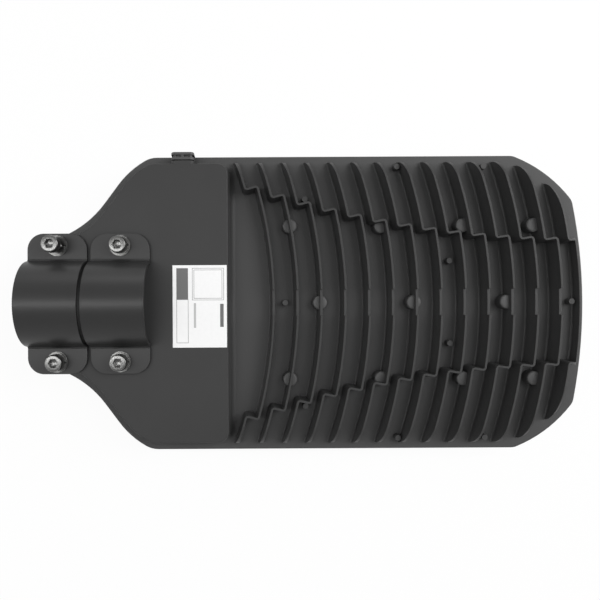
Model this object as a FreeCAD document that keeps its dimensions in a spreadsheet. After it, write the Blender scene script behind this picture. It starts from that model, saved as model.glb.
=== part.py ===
"""LED street light head: a finned die casting on a 60 mm spigot clamp.

Frame, in millimetres: X runs from the mouth of the spigot socket to the rounded tip, Z points from the lens
side to the fin side, and the origin is the centre of the socket's mouth. The deck over the gear compartment
lies in z = 0.
"""
import FreeCAD, Part
import math
import os

from FreeCAD import Placement, Rotation, Vector

SIZES = (
    # Casting outline, seen from above
    ("body_length", 438.1),
    ("half_width", 117.3),
    ("mouth_half_width", 49.0),
    ("mouth_slope", 7.25),
    ("neck_slope", 53.3),
    ("neck_radius", 80.0),
    ("neck_straight", 18.9),
    ("shoulder_slope", 30.0),
    ("shoulder_radius", 20.0),
    ("front_blend_radius", 12.0),
    ("front_corner_radius", 106.0),
    ("front_corner_start", 22.0),
    ("front_corner_end", 52.0),
    ("tip_arc_start", 79.0),
    # Levels and walls of the casting
    ("floor_depth", 18.0),
    ("floor_thickness", 4.0),
    ("skirt_depth", 35.0),
    ("rim_round", 1.2),
    ("deck_thickness", 4.0),
    ("deck_inset", 9.6),
    ("deck_draft", 7.0),
    ("deck_length", 65.6),
    ("deck_corner_radius", 8.7),
    ("deck_edge_round", 0.9),
    ("deck_root_round", 4.2),
    ("cross_wall_step", 2.4),
    ("cross_wall", 4.0),
    # Spigot socket
    ("spigot_radius", 30.0),
    ("cradle_wall", 5.0),
    ("cradle_shoulder", 6.5),
    ("socket_depth", 88.0),
    ("end_wall", 4.0),
    ("pocket_start", 33.0),
    ("pocket_wall", 4.0),
    ("neck_rib", 4.0),
    ("column_radius", 8.0),
    ("column_depth", 26.0),
    # Cooling fins
    ("fin_start", 35.4),
    ("fin_end_gap", 6.5),
    ("fin_pitch", 18.63),
    ("fin_radius", 335.0),
    ("fin_height", 16.0),
    ("fin_top", 1.6),
    ("fin_draft", 3.0),
    ("fin_root_round", 1.5),
    ("fin_step", 9.6),
    ("fin_step_round", 1.9),
    ("step_line_radius", 795.0),
    ("step_line_back", 8.1),
    ("step_line_y", 47.3),
    ("fin_inset", 5.5),
    ("fin_shoulder_round", 15.5),
    ("fin_shoulder_blend", 28.0),
    ("notch_width", 20.5),
    ("notch_depth", 3.0),
    # Bosses between the fins
    ("big_boss_radius", 5.5),
    ("big_boss_height", 8.7),
    ("small_boss_radius", 2.3),
    ("small_boss_height", 6.0),
    ("boss_draft", 2.0),
    # Steel straps
    ("strap_thickness", 2.5),
    ("strap_slack", 0.4),
    ("strap_width", 45.5),
    ("strap_gap", 2.7),
    ("strap_half_span", 53.9),
    ("strap_corner_radius", 12.5),
    ("strap_fold_round", 1.8),
    ("strap_hole_radius", 4.5),
    ("strap_screw_y", 44.5),
    # M8 strap screws and their washers
    ("strap_screw_radius", 4.0),
    ("strap_screw_length", 25.0),
    ("strap_head_radius", 6.5),
    ("strap_head_height", 8.0),
    ("strap_socket_flats", 6.0),
    ("strap_socket_depth", 4.0),
    ("strap_head_round", 0.6),
    ("flat_washer_radius", 8.0),
    ("flat_washer_thickness", 1.6),
    ("spring_washer_radius", 7.4),
    ("spring_washer_thickness", 2.0),
    ("spring_washer_split", 1.2),
    ("washer_bore", 4.2),
    ("proud_lift", 7.1),
    # Small fasteners, all pan heads driven from below
    ("small_screw_radius", 1.5),
    ("small_screw_length", 9.0),
    ("small_head_radius", 2.9),
    ("small_head_height", 1.8),
    ("medium_screw_radius", 2.0),
    ("medium_screw_length", 8.0),
    ("medium_head_radius", 4.0),
    ("medium_head_height", 2.4),
    ("drive_flats", 2.5),
    ("drive_depth", 1.2),
    ("thread_clearance", 0.05),
    ("hole_clearance", 0.4),
    ("fit_clearance", 0.3),
    # Vent plug
    ("vent_offset", 26.8),
    ("vent_depth", 9.0),
    ("vent_seat_inset", 7.1),
    ("vent_head_width", 17.7),
    ("vent_corner_round", 3.0),
    ("vent_head_round", 0.8),
    ("vent_flange", 1.8),
    ("vent_waist", 1.9),
    ("vent_waist_width", 13.2),
    ("vent_post_radius", 1.6),
    ("vent_cap", 2.2),
    ("vent_rib_width", 2.0),
    ("vent_thread_radius", 4.0),
    ("vent_thread_length", 9.0),
    ("vent_hole_radius", 2.0),
    ("vent_seal_thickness", 0.8),
    ("vent_seal_radius", 8.2),
    # Cable gland
    ("gland_depth", 15.5),
    ("gland_thread_radius", 8.0),
    ("gland_bore", 5.0),
    ("gland_flats", 18.0),
    ("gland_hex", 3.0),
    ("gland_cap_length", 8.0),
    ("gland_skirt_share", 0.55),
    ("gland_wall", 1.0),
    ("gland_cap_bore", 3.6),
    ("gland_nut_thickness", 5.0),
    ("gland_nut_flats", 19.0),
    ("gland_room_radius", 10.9),
    ("gland_room_wall", 2.5),
    ("gland_room_length", 12.0),
    # Gear compartment
    ("cover_lip", 3.0),
    ("cover_ledge", 4.0),
    ("cover_thickness", 2.0),
    ("cover_recess", 2.6),
    ("gasket_thickness", 1.0),
    ("gasket_edge", 0.8),
    ("cover_post_radius", 5.0),
    ("cover_screw_inset", 4.8),
    ("cover_screw_side", 11.3),
    ("cover_screw_left_y", 44.0),
    ("cover_screw_right_y", 20.0),
    ("driver_width", 40.0),
    ("driver_height", 22.0),
    ("driver_offset", 13.0),
    ("driver_side_gap", 23.3),
    ("driver_middle_gap", 20.0),
    ("driver_round", 1.5),
    ("driver_ear", 9.0),
    ("driver_ear_width", 16.0),
    ("driver_ear_thickness", 2.5),
    ("driver_post_radius", 4.0),
    ("terminal_offset", 26.0),
    ("terminal_y", 40.0),
    ("terminal_length", 30.0),
    ("terminal_width", 16.0),
    ("terminal_height", 13.0),
    ("terminal_poles", 3),
    ("terminal_slot", 1.2),
    ("terminal_screw_length", 18.0),
    ("terminal_post_radius", 3.6),
    ("terminal_post_drop", 6.0),
    ("earth_offset", 14.0),
    ("earth_y", 76.0),
    ("earth_post_drop", 10.0),
    # Internal leads
    ("input_lead_radius", 2.5),
    ("led_lead_radius", 1.5),
    ("led_lead_y", 7.0),
    ("led_lead_depth", 23.6),
    ("grommet_radius", 3.4),
    ("grommet_length", 3.0),
    ("grommet_flange_radius", 4.6),
    ("grommet_flange", 1.5),
    # Optic and LED board
    ("lens_lip", 5.0),
    ("lens_ledge", 10.0),
    ("lens_ledge_depth", 8.0),
    ("lens_thickness", 3.0),
    ("lens_corner_radius", 6.0),
    ("board_thickness", 1.6),
    ("board_edge", 2.0),
    ("board_gap", 30.0),
    ("led_size", 5.0),
    ("led_height", 0.8),
    ("led_rows", 6),
    ("led_start", 68.0),
    ("led_end_gap", 37.5),
    ("led_pitch_x", 21.5),
    ("led_pitch_y", 31.0),
    ("dome_radius", 8.0),
    ("dome_height", 3.4),
    ("dome_hollow_radius", 6.0),
    ("dome_hollow_height", 2.6),
    ("lens_post_radius", 3.6),
    # Rating label
    ("label_margin", 1.0),
    ("label_y", -34.2),
    ("label_length", 41.8),
    ("label_width", 63.5),
    ("label_thickness", 0.2),
)

# Bosses between the fins, as (distance, y) with both signs of y where y isn't zero. The rear ones are
# measured forwards from the deck's right edge, and the front ones back from the tip.
REAR_BIG_BOSSES = ((48.4, 60.3), (120.4, 60.0), (72.1, 0.0), (146.0, 0.0))
FRONT_BIG_BOSSES = ((99.7, 60.3), (44.1, 60.3), (65.1, 0.0))
REAR_INNER_BOSSES = ((45.0, 0.0), (60.8, 82.0))
FRONT_INNER_BOSSES = ((109.1, 32.7),)
TIP_BOSS = (12.4, 0.0)
# Bosses on the rim, as (distance, inset from the casting's side)
REAR_RIM_BOSS = (133.9, 9.8)
FRONT_RIM_BOSSES = ((81.9, 9.8), (16.1, 51.1))
# Lens screws in the thick ledge beside the cross wall, with no boss above them
LEDGE_SCREW_IN = 5.0
LEDGE_SCREW_Y = (0.0, 62.0)
LEDGE_SCREW_SIDE = 13.3

doc = FreeCAD.newDocument("street_light_head")
sheet = doc.addObject("Spreadsheet::Sheet", "sizes")
for row, (alias, value) in enumerate(SIZES, 1):
    sheet.set(f"A{row}", alias)
    sheet.set(f"B{row}", str(value))
    sheet.setAlias(f"B{row}", alias)
doc.recompute()

PARTS = []
EPS = 0.001
BIG = 1000.0
LEAD_IN = 6.0
ROOT_BITE = 1.0
ROUND_DIP = 0.05
STEP_ROUNDS = 12
WING_END = 24.0
HOLE_SPARE = 1.0
CAP_BITE = 0.5
INNER_ROUND = 3.0
# Where the inner leads leave the driver, as shares of its width, and where they bend, as a share of their run
LEAD_IN_SHARE = 0.3
LEAD_OUT_SHARE = 0.8
LEAD_BEND_SHARE = 0.3
BEND_SHARE = 0.45


def size(alias):
    """One driving dimension from the sheet."""
    return float(sheet.get(alias))


def both_sides(places):
    """Each place, and its mirror image across the XZ plane where it isn't on that plane."""
    found = []
    for x, y in places:
        found.append((x, y))
        if y:
            found.append((x, -y))
    return found


def cylinder(radius, base, axis, length):
    return Part.makeCylinder(radius, length, Vector(*base), Vector(*axis))


def block(x0, x1, y0, y1, z0, z1):
    return Part.makeBox(x1 - x0, y1 - y0, z1 - z0, Vector(x0, y0, z0))


def prism(face, z0, z1):
    """The face, drawn in z = 0, as a solid between two heights."""
    solid = face.extrude(Vector(0, 0, z1 - z0))
    solid.translate(Vector(0, 0, z0))
    return solid


# Levels that several pieces share
FLOOR = -size("floor_depth")
FLOOR_UNDER = FLOOR - size("floor_thickness")
BASE = -size("skirt_depth")
CEILING = -size("deck_thickness")
FIN_TOP = FLOOR + size("fin_height")
COVER_FACE = BASE + size("cover_recess")
COVER_SEAT = COVER_FACE + size("cover_thickness") + size("gasket_thickness")
LENS_SEAT = FLOOR - size("lens_ledge_depth")
LENS_TOP = LENS_SEAT - size("gasket_thickness")
LENS_FACE = LENS_TOP - size("lens_thickness")
BOARD_FACE = FLOOR_UNDER - size("board_thickness")
# Stations along X, each from the one before it
TIP_X = size("body_length")
COMPARTMENT_X = size("socket_depth") + size("end_wall")
DECK_RIGHT = size("socket_depth") + size("deck_length")
CROSS_WALL_X = DECK_RIGHT + size("cross_wall_step")
CROSS_WALL_END = CROSS_WALL_X + size("cross_wall")
BOARD_START = CROSS_WALL_END + size("board_gap")


def from_deck(places):
    return tuple((DECK_RIGHT + x, y) for x, y in places)


def from_tip(places):
    return tuple((TIP_X - x, y) for x, y in places)


def from_side(places):
    return tuple((x, size("half_width") - inset) for x, inset in places)


BIG_BOSSES = from_deck(REAR_BIG_BOSSES) + from_tip(FRONT_BIG_BOSSES)
INNER_BOSSES = from_deck(REAR_INNER_BOSSES) + from_tip(FRONT_INNER_BOSSES)
RIM_BOSSES = from_side(from_deck((REAR_RIM_BOSS,)) + from_tip(FRONT_RIM_BOSSES)) + from_tip((TIP_BOSS,))
LEDGE_SCREW_X = CROSS_WALL_END + LEDGE_SCREW_IN
LEDGE_END_SCREW = from_side(((LEDGE_SCREW_X, LEDGE_SCREW_SIDE),))
LEDGE_SCREWS = tuple((LEDGE_SCREW_X, y) for y in LEDGE_SCREW_Y) + LEDGE_END_SCREW
COVER_LEFT_X = COMPARTMENT_X + size("cover_screw_inset")
COVER_RIGHT_X = CROSS_WALL_X - size("cover_screw_inset")


class Path:
    """A chain of tangent lines and arcs, walked with the solid on its right and moved inwards by an inset."""

    def __init__(self, x, y, heading, inset):
        self.heading = math.radians(heading)
        self.inset = inset
        self.point = Vector(x, y, 0) + self.right() * inset
        self.edges = []

    def right(self):
        return Vector(math.sin(self.heading), -math.cos(self.heading), 0)

    def line(self, length):
        ahead = Vector(math.cos(self.heading), math.sin(self.heading), 0)
        end = self.point + ahead * length
        self.edges.append(Part.LineSegment(self.point, end).toShape())
        self.point = end

    def arc(self, radius, turn):
        """A turn in degrees, positive to the right, where the material is and an inset shrinks the radius."""
        side = 1 if turn > 0 else -1
        true_radius = radius - side * self.inset
        centre = self.point + self.right() * (side * true_radius)
        start = self.point
        spoke = start - centre
        middle = centre + Rotation(Vector(0, 0, 1), -turn / 2).multVec(spoke)
        end = centre + Rotation(Vector(0, 0, 1), -turn).multVec(spoke)
        self.edges.append(Part.Arc(start, middle, end).toShape())
        self.point = end
        self.heading -= math.radians(turn)


def cos_step(a, b):
    return math.cos(math.radians(a)) - math.cos(math.radians(b))


def sin_step(a, b):
    return math.sin(math.radians(b)) - math.sin(math.radians(a))


def neck_path(inset):
    """The +Y edge of the neck and shoulder, from just outside the mouth to where the side runs straight."""
    slope = math.radians(size("mouth_slope"))
    start_x = -LEAD_IN * math.cos(slope)
    start_y = size("mouth_half_width") - LEAD_IN * math.sin(slope)
    path = Path(start_x, start_y, size("mouth_slope"), inset)
    path.line(LEAD_IN)
    rise = size("neck_radius") * cos_step(size("mouth_slope"), size("neck_slope"))
    rise += size("neck_straight") * math.sin(math.radians(size("neck_slope")))
    rise += size("shoulder_radius") * cos_step(0, size("shoulder_slope"))
    left = size("half_width") - size("mouth_half_width") - rise
    wide_radius = left / cos_step(size("shoulder_slope"), size("neck_slope"))
    path.arc(size("neck_radius"), size("mouth_slope") - size("neck_slope"))
    path.line(size("neck_straight"))
    path.arc(wide_radius, size("neck_slope") - size("shoulder_slope"))
    path.arc(size("shoulder_radius"), size("shoulder_slope"))
    return path


def closed_face(edges):
    """A face from the +Y half's edges and their mirror image."""
    mirrored = [edge.mirror(Vector(0, 0, 0), Vector(0, 1, 0)) for edge in edges]
    first = edges[0].Vertexes[0].Point
    last = edges[-1].Vertexes[-1].Point
    every = list(edges) + mirrored
    every.append(Part.LineSegment(first, Vector(first.x, -first.y, 0)).toShape())
    if abs(last.y) > EPS:
        every.append(Part.LineSegment(last, Vector(last.x, -last.y, 0)).toShape())
    return Part.Face(Part.Wire(Part.__sortEdges__(every)))


def outline_face(inset, blend):
    """The casting's outline, moved inwards by inset, with the given radius at the front corner's ends."""
    turns = (0.0, size("front_corner_start"), size("front_corner_end"), size("tip_arc_start"), 90.0)
    radii = [blend, size("front_corner_radius"), blend]
    drop = sum(r * cos_step(a, b) for r, a, b in zip(radii, turns, turns[1:]))
    radii.append((size("half_width") - drop) / cos_step(turns[3], turns[4]))
    reach = sum(r * sin_step(a, b) for r, a, b in zip(radii, turns, turns[1:]))
    path = neck_path(inset)
    side_x = path.point.x
    path.line(size("body_length") - reach - side_x)
    for radius, a, b in zip(radii, turns, turns[1:]):
        path.arc(radius, b - a)
    return closed_face(path.edges)


def outline(inset):
    """The outline inset by a wall; a deep inset keeps a small round where the front blends would vanish."""
    return outline_face(inset, max(size("front_blend_radius"), inset + INNER_ROUND))


def side_y(x, inset):
    """The +Y side of the inset outline at one station along X."""
    across = Part.LineSegment(Vector(x, EPS, 0), Vector(x, BIG, 0)).toShape()
    return max(vertex.Y for vertex in outline(inset).OuterWire.section(across).Vertexes)


COVER_SCREWS = [(x, side_y(x, size("cover_screw_side"))) for x in (COVER_LEFT_X, COVER_RIGHT_X)]
COVER_SCREWS += [(COVER_LEFT_X, size("cover_screw_left_y")), (COVER_RIGHT_X, size("cover_screw_right_y"))]


def deck_face(inset):
    """The raised deck's outline, inset from the casting's, with its straight right edge."""
    path = neck_path(inset)
    right_edge = DECK_RIGHT + size("deck_inset")
    corner = size("deck_corner_radius") + size("deck_inset")
    path.line(right_edge - corner - path.point.x)
    path.arc(corner, 90.0)
    return closed_face(path.edges)


def drafted_deck():
    """The deck block, whose walls lean outwards from its top down to the floor."""
    lean = size("floor_depth") * math.tan(math.radians(size("deck_draft")))
    top = deck_face(size("deck_inset")).OuterWire
    foot = deck_face(size("deck_inset") - lean).OuterWire
    foot.translate(Vector(0, 0, FLOOR))
    return Part.makeLoft([foot, top], True, True)


def level_edges(solid, z):
    """The solid's edges that lie flat at one height."""
    box = [(edge, edge.BoundBox) for edge in solid.Edges]
    return [edge for edge, b in box if abs(b.ZMin - z) < EPS and abs(b.ZMax - z) < EPS]


def outer_edges(solid, z, wire, inside):
    """Edges flat at one height: those on the wire, or with inside set, the others. The mouth is left out."""
    found = []
    for edge in level_edges(solid, z):
        middle = edge.valueAt((edge.FirstParameter + edge.LastParameter) / 2)
        gap = Part.Vertex(middle.x, middle.y, 0).distToShape(wire)[0]
        if edge.BoundBox.XMax > EPS and (gap > EPS) == inside:
            found.append(edge)
    return found


def rounded_shell():
    """The solid outer form: skirt and rim below, deck above, with their edges rounded."""
    solid = prism(outline(0.0), BASE, FLOOR).fuse(drafted_deck()).removeSplitter()
    solid = solid.common(block(0, BIG, -BIG, BIG, -BIG, BIG))
    rim = outline(0.0).OuterWire
    solid = solid.makeFillet(size("deck_root_round"), outer_edges(solid, FLOOR, rim, True))
    solid = solid.makeFillet(size("deck_edge_round"), outer_edges(solid, 0.0, rim, True))
    return solid.makeFillet(size("rim_round"), outer_edges(solid, FLOOR, rim, False))


def places_between(first, end_gap, pitch):
    """Stations along X at a pitch, from the first one to where the end gap before the tip begins."""
    count = int((TIP_X - end_gap - first) / pitch) + 1
    return [first + i * pitch for i in range(count)]


def fin_sections():
    """One fin's upright web and its left and right root rounds, drawn in the XZ plane about x = 0."""
    draft = math.radians(size("fin_draft"))
    half_top = size("fin_top") / 2
    half_root = half_top + size("fin_height") * math.tan(draft)
    round_r = size("fin_root_round")
    # The round touches the drafted side at one end and dips just under the floor at the other
    centre_x = half_root + round_r * (1 - math.sin(draft)) / math.cos(draft)
    centre_z = FLOOR + round_r - ROUND_DIP
    side_x = centre_x - round_r * math.cos(draft)
    side_z = centre_z + round_r * math.sin(draft)
    middle = math.radians(45) - draft / 2
    arc_middle = Vector(centre_x - round_r * math.cos(middle), 0, centre_z - round_r * math.sin(middle))
    side = Vector(side_x, 0, side_z)
    toe = Vector(centre_x, 0, FLOOR - ROUND_DIP)
    toe_foot = Vector(centre_x, 0, FLOOR - ROOT_BITE)
    web_foot = Vector(half_root + ROOT_BITE * math.tan(draft), 0, FLOOR - ROOT_BITE)
    core = Vector(half_top / 2, 0, side_z)
    core_foot = Vector(half_top / 2, 0, FLOOR - ROOT_BITE)
    tip = Vector(half_top, 0, FIN_TOP)
    web = Part.Face(Part.makePolygon([tip, web_foot, across_axis(web_foot), across_axis(tip), tip]))
    lines = [(core, side), (toe, toe_foot), (toe_foot, core_foot), (core_foot, core)]
    edges = [Part.LineSegment(*ends).toShape() for ends in lines]
    edges.append(Part.Arc(side, arc_middle, toe).toShape())
    right = Part.Face(Part.Wire(Part.__sortEdges__(edges)))
    return web, right.mirror(Vector(0, 0, 0), Vector(1, 0, 0)), right


def across_axis(point):
    """The point's mirror image across x = 0."""
    return Vector(-point.x, point.y, point.z)


class FinRun:
    """A fin's centre line, walked from the axis outwards; its sections sweep a solid along each stretch."""

    def __init__(self, sections, x):
        self.web, self.left, self.right = sections
        self.point = Vector(x, 0, 0)
        self.heading = 90.0
        self.solids = []

    def across(self, section):
        """A section, square to the walk at the present point."""
        face = section.copy()
        face.Placement = Placement(self.point, Rotation(Vector(0, 0, 1), self.heading - 90.0))
        return face

    def unit(self, turn):
        angle = math.radians(self.heading + turn)
        return Vector(math.cos(angle), math.sin(angle), 0)

    def arc(self, radius, turn, sections=None):
        """A turn in degrees, positive to the left."""
        centre = self.point + self.unit(90.0 if turn > 0 else -90.0) * radius
        for section in sections or (self.web, self.left, self.right):
            self.solids.append(self.across(section).revolve(centre, Vector(0, 0, 1), turn))
        self.point = centre + Rotation(Vector(0, 0, 1), turn).multVec(self.point - centre)
        self.heading += turn

    def corner(self, radius, turn):
        """A tight turn, where the inner root rounds of both stretches run on into each other."""
        inner, outer = (self.left, self.right) if turn > 0 else (self.right, self.left)
        self.solids.append(self.across(inner).extrude(self.unit(0.0) * radius))
        self.arc(radius, turn, (self.web, outer))
        self.solids.append(self.across(inner).extrude(self.unit(0.0) * -radius))

    def line(self, length):
        step = self.unit(0.0) * length
        for section in (self.web, self.left, self.right):
            self.solids.append(self.across(section).extrude(step))
        self.point = self.point + step


def step_angle(apex):
    """The angle round a fin's centre at which the fin steps back, on the casting's long boundary curve."""
    radius = size("fin_radius")
    line_radius = size("step_line_radius")
    foot_x = TIP_X - size("step_line_back")
    y = size("step_line_y")
    for _ in range(STEP_ROUNDS):
        x = apex - radius + math.sqrt(radius**2 - y**2)
        y = size("step_line_y") + line_radius - math.sqrt(line_radius**2 - (foot_x - x) ** 2)
    return math.degrees(math.asin(y / radius))


def one_fin(sections, apex):
    """One whole fin: a centre arc, a step back to the neck on each side, and a wing on the same centre."""
    corner = size("fin_step_round")
    angle = step_angle(apex)
    run = FinRun(sections, apex)
    run.arc(size("fin_radius"), angle)
    run.corner(corner, 90.0)
    run.line(size("fin_step") - 2 * corner)
    run.corner(corner, -90.0)
    run.arc(size("fin_radius") - size("fin_step"), WING_END - angle)
    half = run.solids[0].multiFuse(run.solids[1:]).removeSplitter()
    return half.fuse(half.mirror(Vector(0, 0, 0), Vector(0, 1, 0))).removeSplitter()


def fin_field():
    """All the fins, cut to the rounded body that their tops follow, with the shallow notch on the axis."""
    sections = fin_sections()
    body = prism(outline_face(size("fin_inset"), size("fin_shoulder_blend")), FLOOR - ROOT_BITE / 2, FIN_TOP)
    top = [edge for edge in level_edges(body, FIN_TOP) if edge.BoundBox.XMax > DECK_RIGHT]
    body = body.makeFillet(size("fin_shoulder_round"), top)
    half_notch = size("notch_width") / 2
    body = body.cut(block(0, BIG, -half_notch, half_notch, FIN_TOP - size("notch_depth"), BIG))
    body = body.common(block(DECK_RIGHT, BIG, -BIG, BIG, -BIG, BIG))
    first = DECK_RIGHT + size("fin_start")
    fin_places = places_between(first, size("fin_end_gap"), size("fin_pitch"))
    return [one_fin(sections, x).common(body) for x in fin_places]


def boss(place, radius, height):
    """A slightly drafted round boss on the finned floor."""
    foot_radius = radius + (height + ROOT_BITE) * math.tan(math.radians(size("boss_draft")))
    foot = Vector(place[0], place[1], FLOOR - ROOT_BITE)
    return Part.makeCone(foot_radius, radius, height + ROOT_BITE, foot)


def post(place, radius, z0, z1):
    return cylinder(radius, (place[0], place[1], z0), (0, 0, 1), z1 - z0)


STRAP_STARTS = (0.0, size("strap_width") + size("strap_gap"))
STRAP_BORE = size("spigot_radius") + size("strap_slack")
STRAP_SCREWS = [
    (start + size("strap_width") / 2, side * size("strap_screw_y"))
    for start in STRAP_STARTS for side in (1, -1)
]
WASHER_STACK = size("strap_thickness") + size("flat_washer_thickness") + size("spring_washer_thickness")
SCREW_HOLE_FLOOR = WASHER_STACK - size("strap_screw_length") - 3 * ROOT_BITE
GLAND_WALL_X = size("socket_depth") + size("gland_room_length")
GLAND_IN_X = GLAND_WALL_X + size("end_wall")
DRIVER_X = COMPARTMENT_X + size("driver_offset")
DRIVER_Y = size("driver_side_gap") - size("half_width")
DRIVER_END_Y = -size("driver_middle_gap")
DRIVER_MIDDLE_X = DRIVER_X + size("driver_width") / 2
DRIVER_POSTS = [
    (DRIVER_MIDDLE_X, DRIVER_Y - size("driver_ear") / 2),
    (DRIVER_MIDDLE_X, DRIVER_END_Y + size("driver_ear") / 2),
]
DRIVER_FACE = CEILING - size("driver_height")
TERMINAL_TOP = CEILING - size("terminal_post_drop")
TERMINAL_FACE = TERMINAL_TOP - size("terminal_height")
TERMINAL_X = COMPARTMENT_X + size("terminal_offset")
POLE = size("terminal_length") / int(size("terminal_poles"))
TERMINAL_POSTS = [
    (TERMINAL_X + size("terminal_width") / 2, size("terminal_y") + i * POLE)
    for i in range(1, int(size("terminal_poles")))
]
EARTH = (COMPARTMENT_X + size("earth_offset"), size("earth_y"))
EARTH_SEAT = CEILING - size("earth_post_drop")
LEAD_Z = -size("led_lead_depth")
VENT_X = COMPARTMENT_X + size("vent_offset")
VENT_SEAT_Y = size("half_width") - size("vent_seat_inset")
LENS_SCREWS = both_sides(RIM_BOSSES + INNER_BOSSES + LEDGE_SCREWS)
BOARD_SCREWS = both_sides(BIG_BOSSES)


def cradle():
    """The half-round trough that carries the spigot, with straight shoulders up to the deck."""
    reach = size("spigot_radius") + size("cradle_wall")
    half = size("spigot_radius") + size("cradle_shoulder")
    end = size("socket_depth") + size("end_wall") / 4
    trough = cylinder(reach, (0, 0, 0), (1, 0, 0), end).common(block(0, BIG, -BIG, BIG, BASE, 0))
    return trough.fuse(block(0, end, -half, half, FLOOR, 0))


def gland_tube(radius, x0, x1):
    return cylinder(radius, (x0, 0, -size("gland_depth")), (1, 0, 0), x1 - x0)


def strap_columns():
    """The four solid columns that the strap screws are driven into."""
    columns = [post(p, size("column_radius"), -size("column_depth"), 0.0) for p in STRAP_SCREWS]
    return columns[0].multiFuse(columns[1:])


def neck_ribs():
    """A cross rib through each strap column, from the cradle out to the neck's walls."""
    half = size("neck_rib") / 2
    middles = sorted({x for x, _ in STRAP_SCREWS})
    ribs = [block(x - half, x + half, -BIG, BIG, BASE, 0) for x in middles]
    return ribs[0].multiFuse(ribs[1:])


def hollow(inset, x0, x1):
    """The room between the outline's walls from one cross plane to another, up to the deck's underside."""
    low = prism(outline(inset), BASE - 1, FLOOR_UNDER)
    high = prism(deck_face(size("deck_inset") + size("deck_thickness")), BASE - 1, CEILING)
    return low.fuse(high.common(block(x0, BIG, -BIG, BIG, FLOOR_UNDER - 1, BIG))).common(
        block(x0, x1, -BIG, BIG, -BIG, BIG)
    )


def underside_rooms():
    """Everything that is cored out of the casting from below."""
    neck = hollow(size("pocket_wall"), size("pocket_start"), size("socket_depth"))
    neck = neck.cut(cradle()).cut(strap_columns()).cut(neck_ribs())
    gear = hollow(size("cover_lip") + size("cover_ledge"), COMPARTMENT_X, CROSS_WALL_X)
    inner = [post(p, size("cover_post_radius"), COVER_SEAT, CEILING) for p in both_sides(COVER_SCREWS)]
    inner += [post(p, size("driver_post_radius"), DRIVER_FACE + size("driver_ear_thickness"), CEILING)
              for p in DRIVER_POSTS]
    inner += [post(p, size("terminal_post_radius"), TERMINAL_TOP, CEILING) for p in TERMINAL_POSTS]
    inner.append(post(EARTH, size("driver_post_radius"), EARTH_SEAT, CEILING))
    room_outside = size("gland_room_radius") + size("gland_room_wall")
    inner.append(gland_tube(room_outside, size("socket_depth"), GLAND_IN_X))
    gear = gear.cut(inner)
    lip = size("cover_lip")
    cover = prism(outline(lip), BASE - 1, COVER_SEAT)
    cover = cover.common(block(COMPARTMENT_X - lip / 2, CROSS_WALL_X + lip / 2, -BIG, BIG, -BIG, BIG))
    lens = prism(outline(size("lens_lip")), BASE - 1, LENS_SEAT)
    lens = lens.common(block(CROSS_WALL_END, BIG, -BIG, BIG, -BIG, BIG))
    ledge = size("lens_ledge")
    leds = prism(outline(size("lens_lip") + ledge), LENS_SEAT - 1, FLOOR_UNDER)
    leds = leds.common(block(CROSS_WALL_END + ledge, BIG, -BIG, BIG, -BIG, BIG))
    rooms = lens.fuse(leds)
    lens_posts = [post(p, size("lens_post_radius"), LENS_TOP, FLOOR_UNDER) for p in both_sides(INNER_BOSSES)]
    rooms = rooms.cut(lens_posts)
    return [neck, gear, cover, rooms]


def drilled_holes():
    """Blind and through holes for every fastener, the spigot, the gland, the vent and the LED lead."""
    loose = size("thread_clearance")
    strap_r = size("strap_screw_radius") + loose
    medium_r = size("medium_screw_radius") + loose
    small_r = size("small_screw_radius") + loose
    medium = size("medium_screw_length") + HOLE_SPARE
    small = size("small_screw_length") + HOLE_SPARE
    holes = [cylinder(size("spigot_radius"), (-1, 0, 0), (1, 0, 0), size("socket_depth") + 1)]
    holes.append(gland_tube(size("gland_room_radius"), size("socket_depth") - 1, GLAND_WALL_X))
    holes.append(gland_tube(size("gland_thread_radius") + loose, GLAND_WALL_X - 1, GLAND_IN_X + 1))
    holes += [post(p, strap_r, SCREW_HOLE_FLOOR, 1) for p in STRAP_SCREWS]
    holes += [post(p, medium_r, COVER_SEAT - 1, COVER_FACE + medium) for p in both_sides(COVER_SCREWS)]
    ear = DRIVER_FACE + size("driver_ear_thickness")
    holes += [post(p, medium_r, ear - 1, DRIVER_FACE + medium) for p in DRIVER_POSTS]
    deep = TERMINAL_FACE + size("terminal_screw_length") + HOLE_SPARE
    holes += [post(p, small_r, TERMINAL_TOP - 1, deep) for p in TERMINAL_POSTS]
    holes.append(post(EARTH, medium_r, EARTH_SEAT - 1, EARTH_SEAT + medium))
    holes += [post(p, small_r, LENS_TOP - 1, LENS_FACE + small) for p in LENS_SCREWS]
    holes += [post(p, medium_r, FLOOR_UNDER - 1, BOARD_FACE + medium) for p in BOARD_SCREWS]
    vent = (VENT_X, size("half_width") / 2, -size("vent_depth"))
    holes.append(cylinder(size("vent_thread_radius") + loose, vent, (0, 1, 0), size("half_width")))
    holes.append(vent_spot_face())
    lead_hole = (CROSS_WALL_X - 1, size("led_lead_y"), LEAD_Z)
    through = size("cross_wall") + size("lens_ledge") + 2
    lead_hole_radius = size("led_lead_radius") + size("hole_clearance") / 2
    holes.append(cylinder(lead_hole_radius, lead_hole, (1, 0, 0), through))
    holes.append(cylinder(size("grommet_radius") + loose, lead_hole, (1, 0, 0), size("grommet_length") + 1))
    ledge = size("cover_lip") + size("cover_ledge") + 1
    wide = size("grommet_flange_radius") + size("hole_clearance")
    holes.append(cylinder(wide, (CROSS_WALL_X - ledge, size("led_lead_y"), LEAD_Z), (1, 0, 0), ledge))
    return holes


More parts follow.
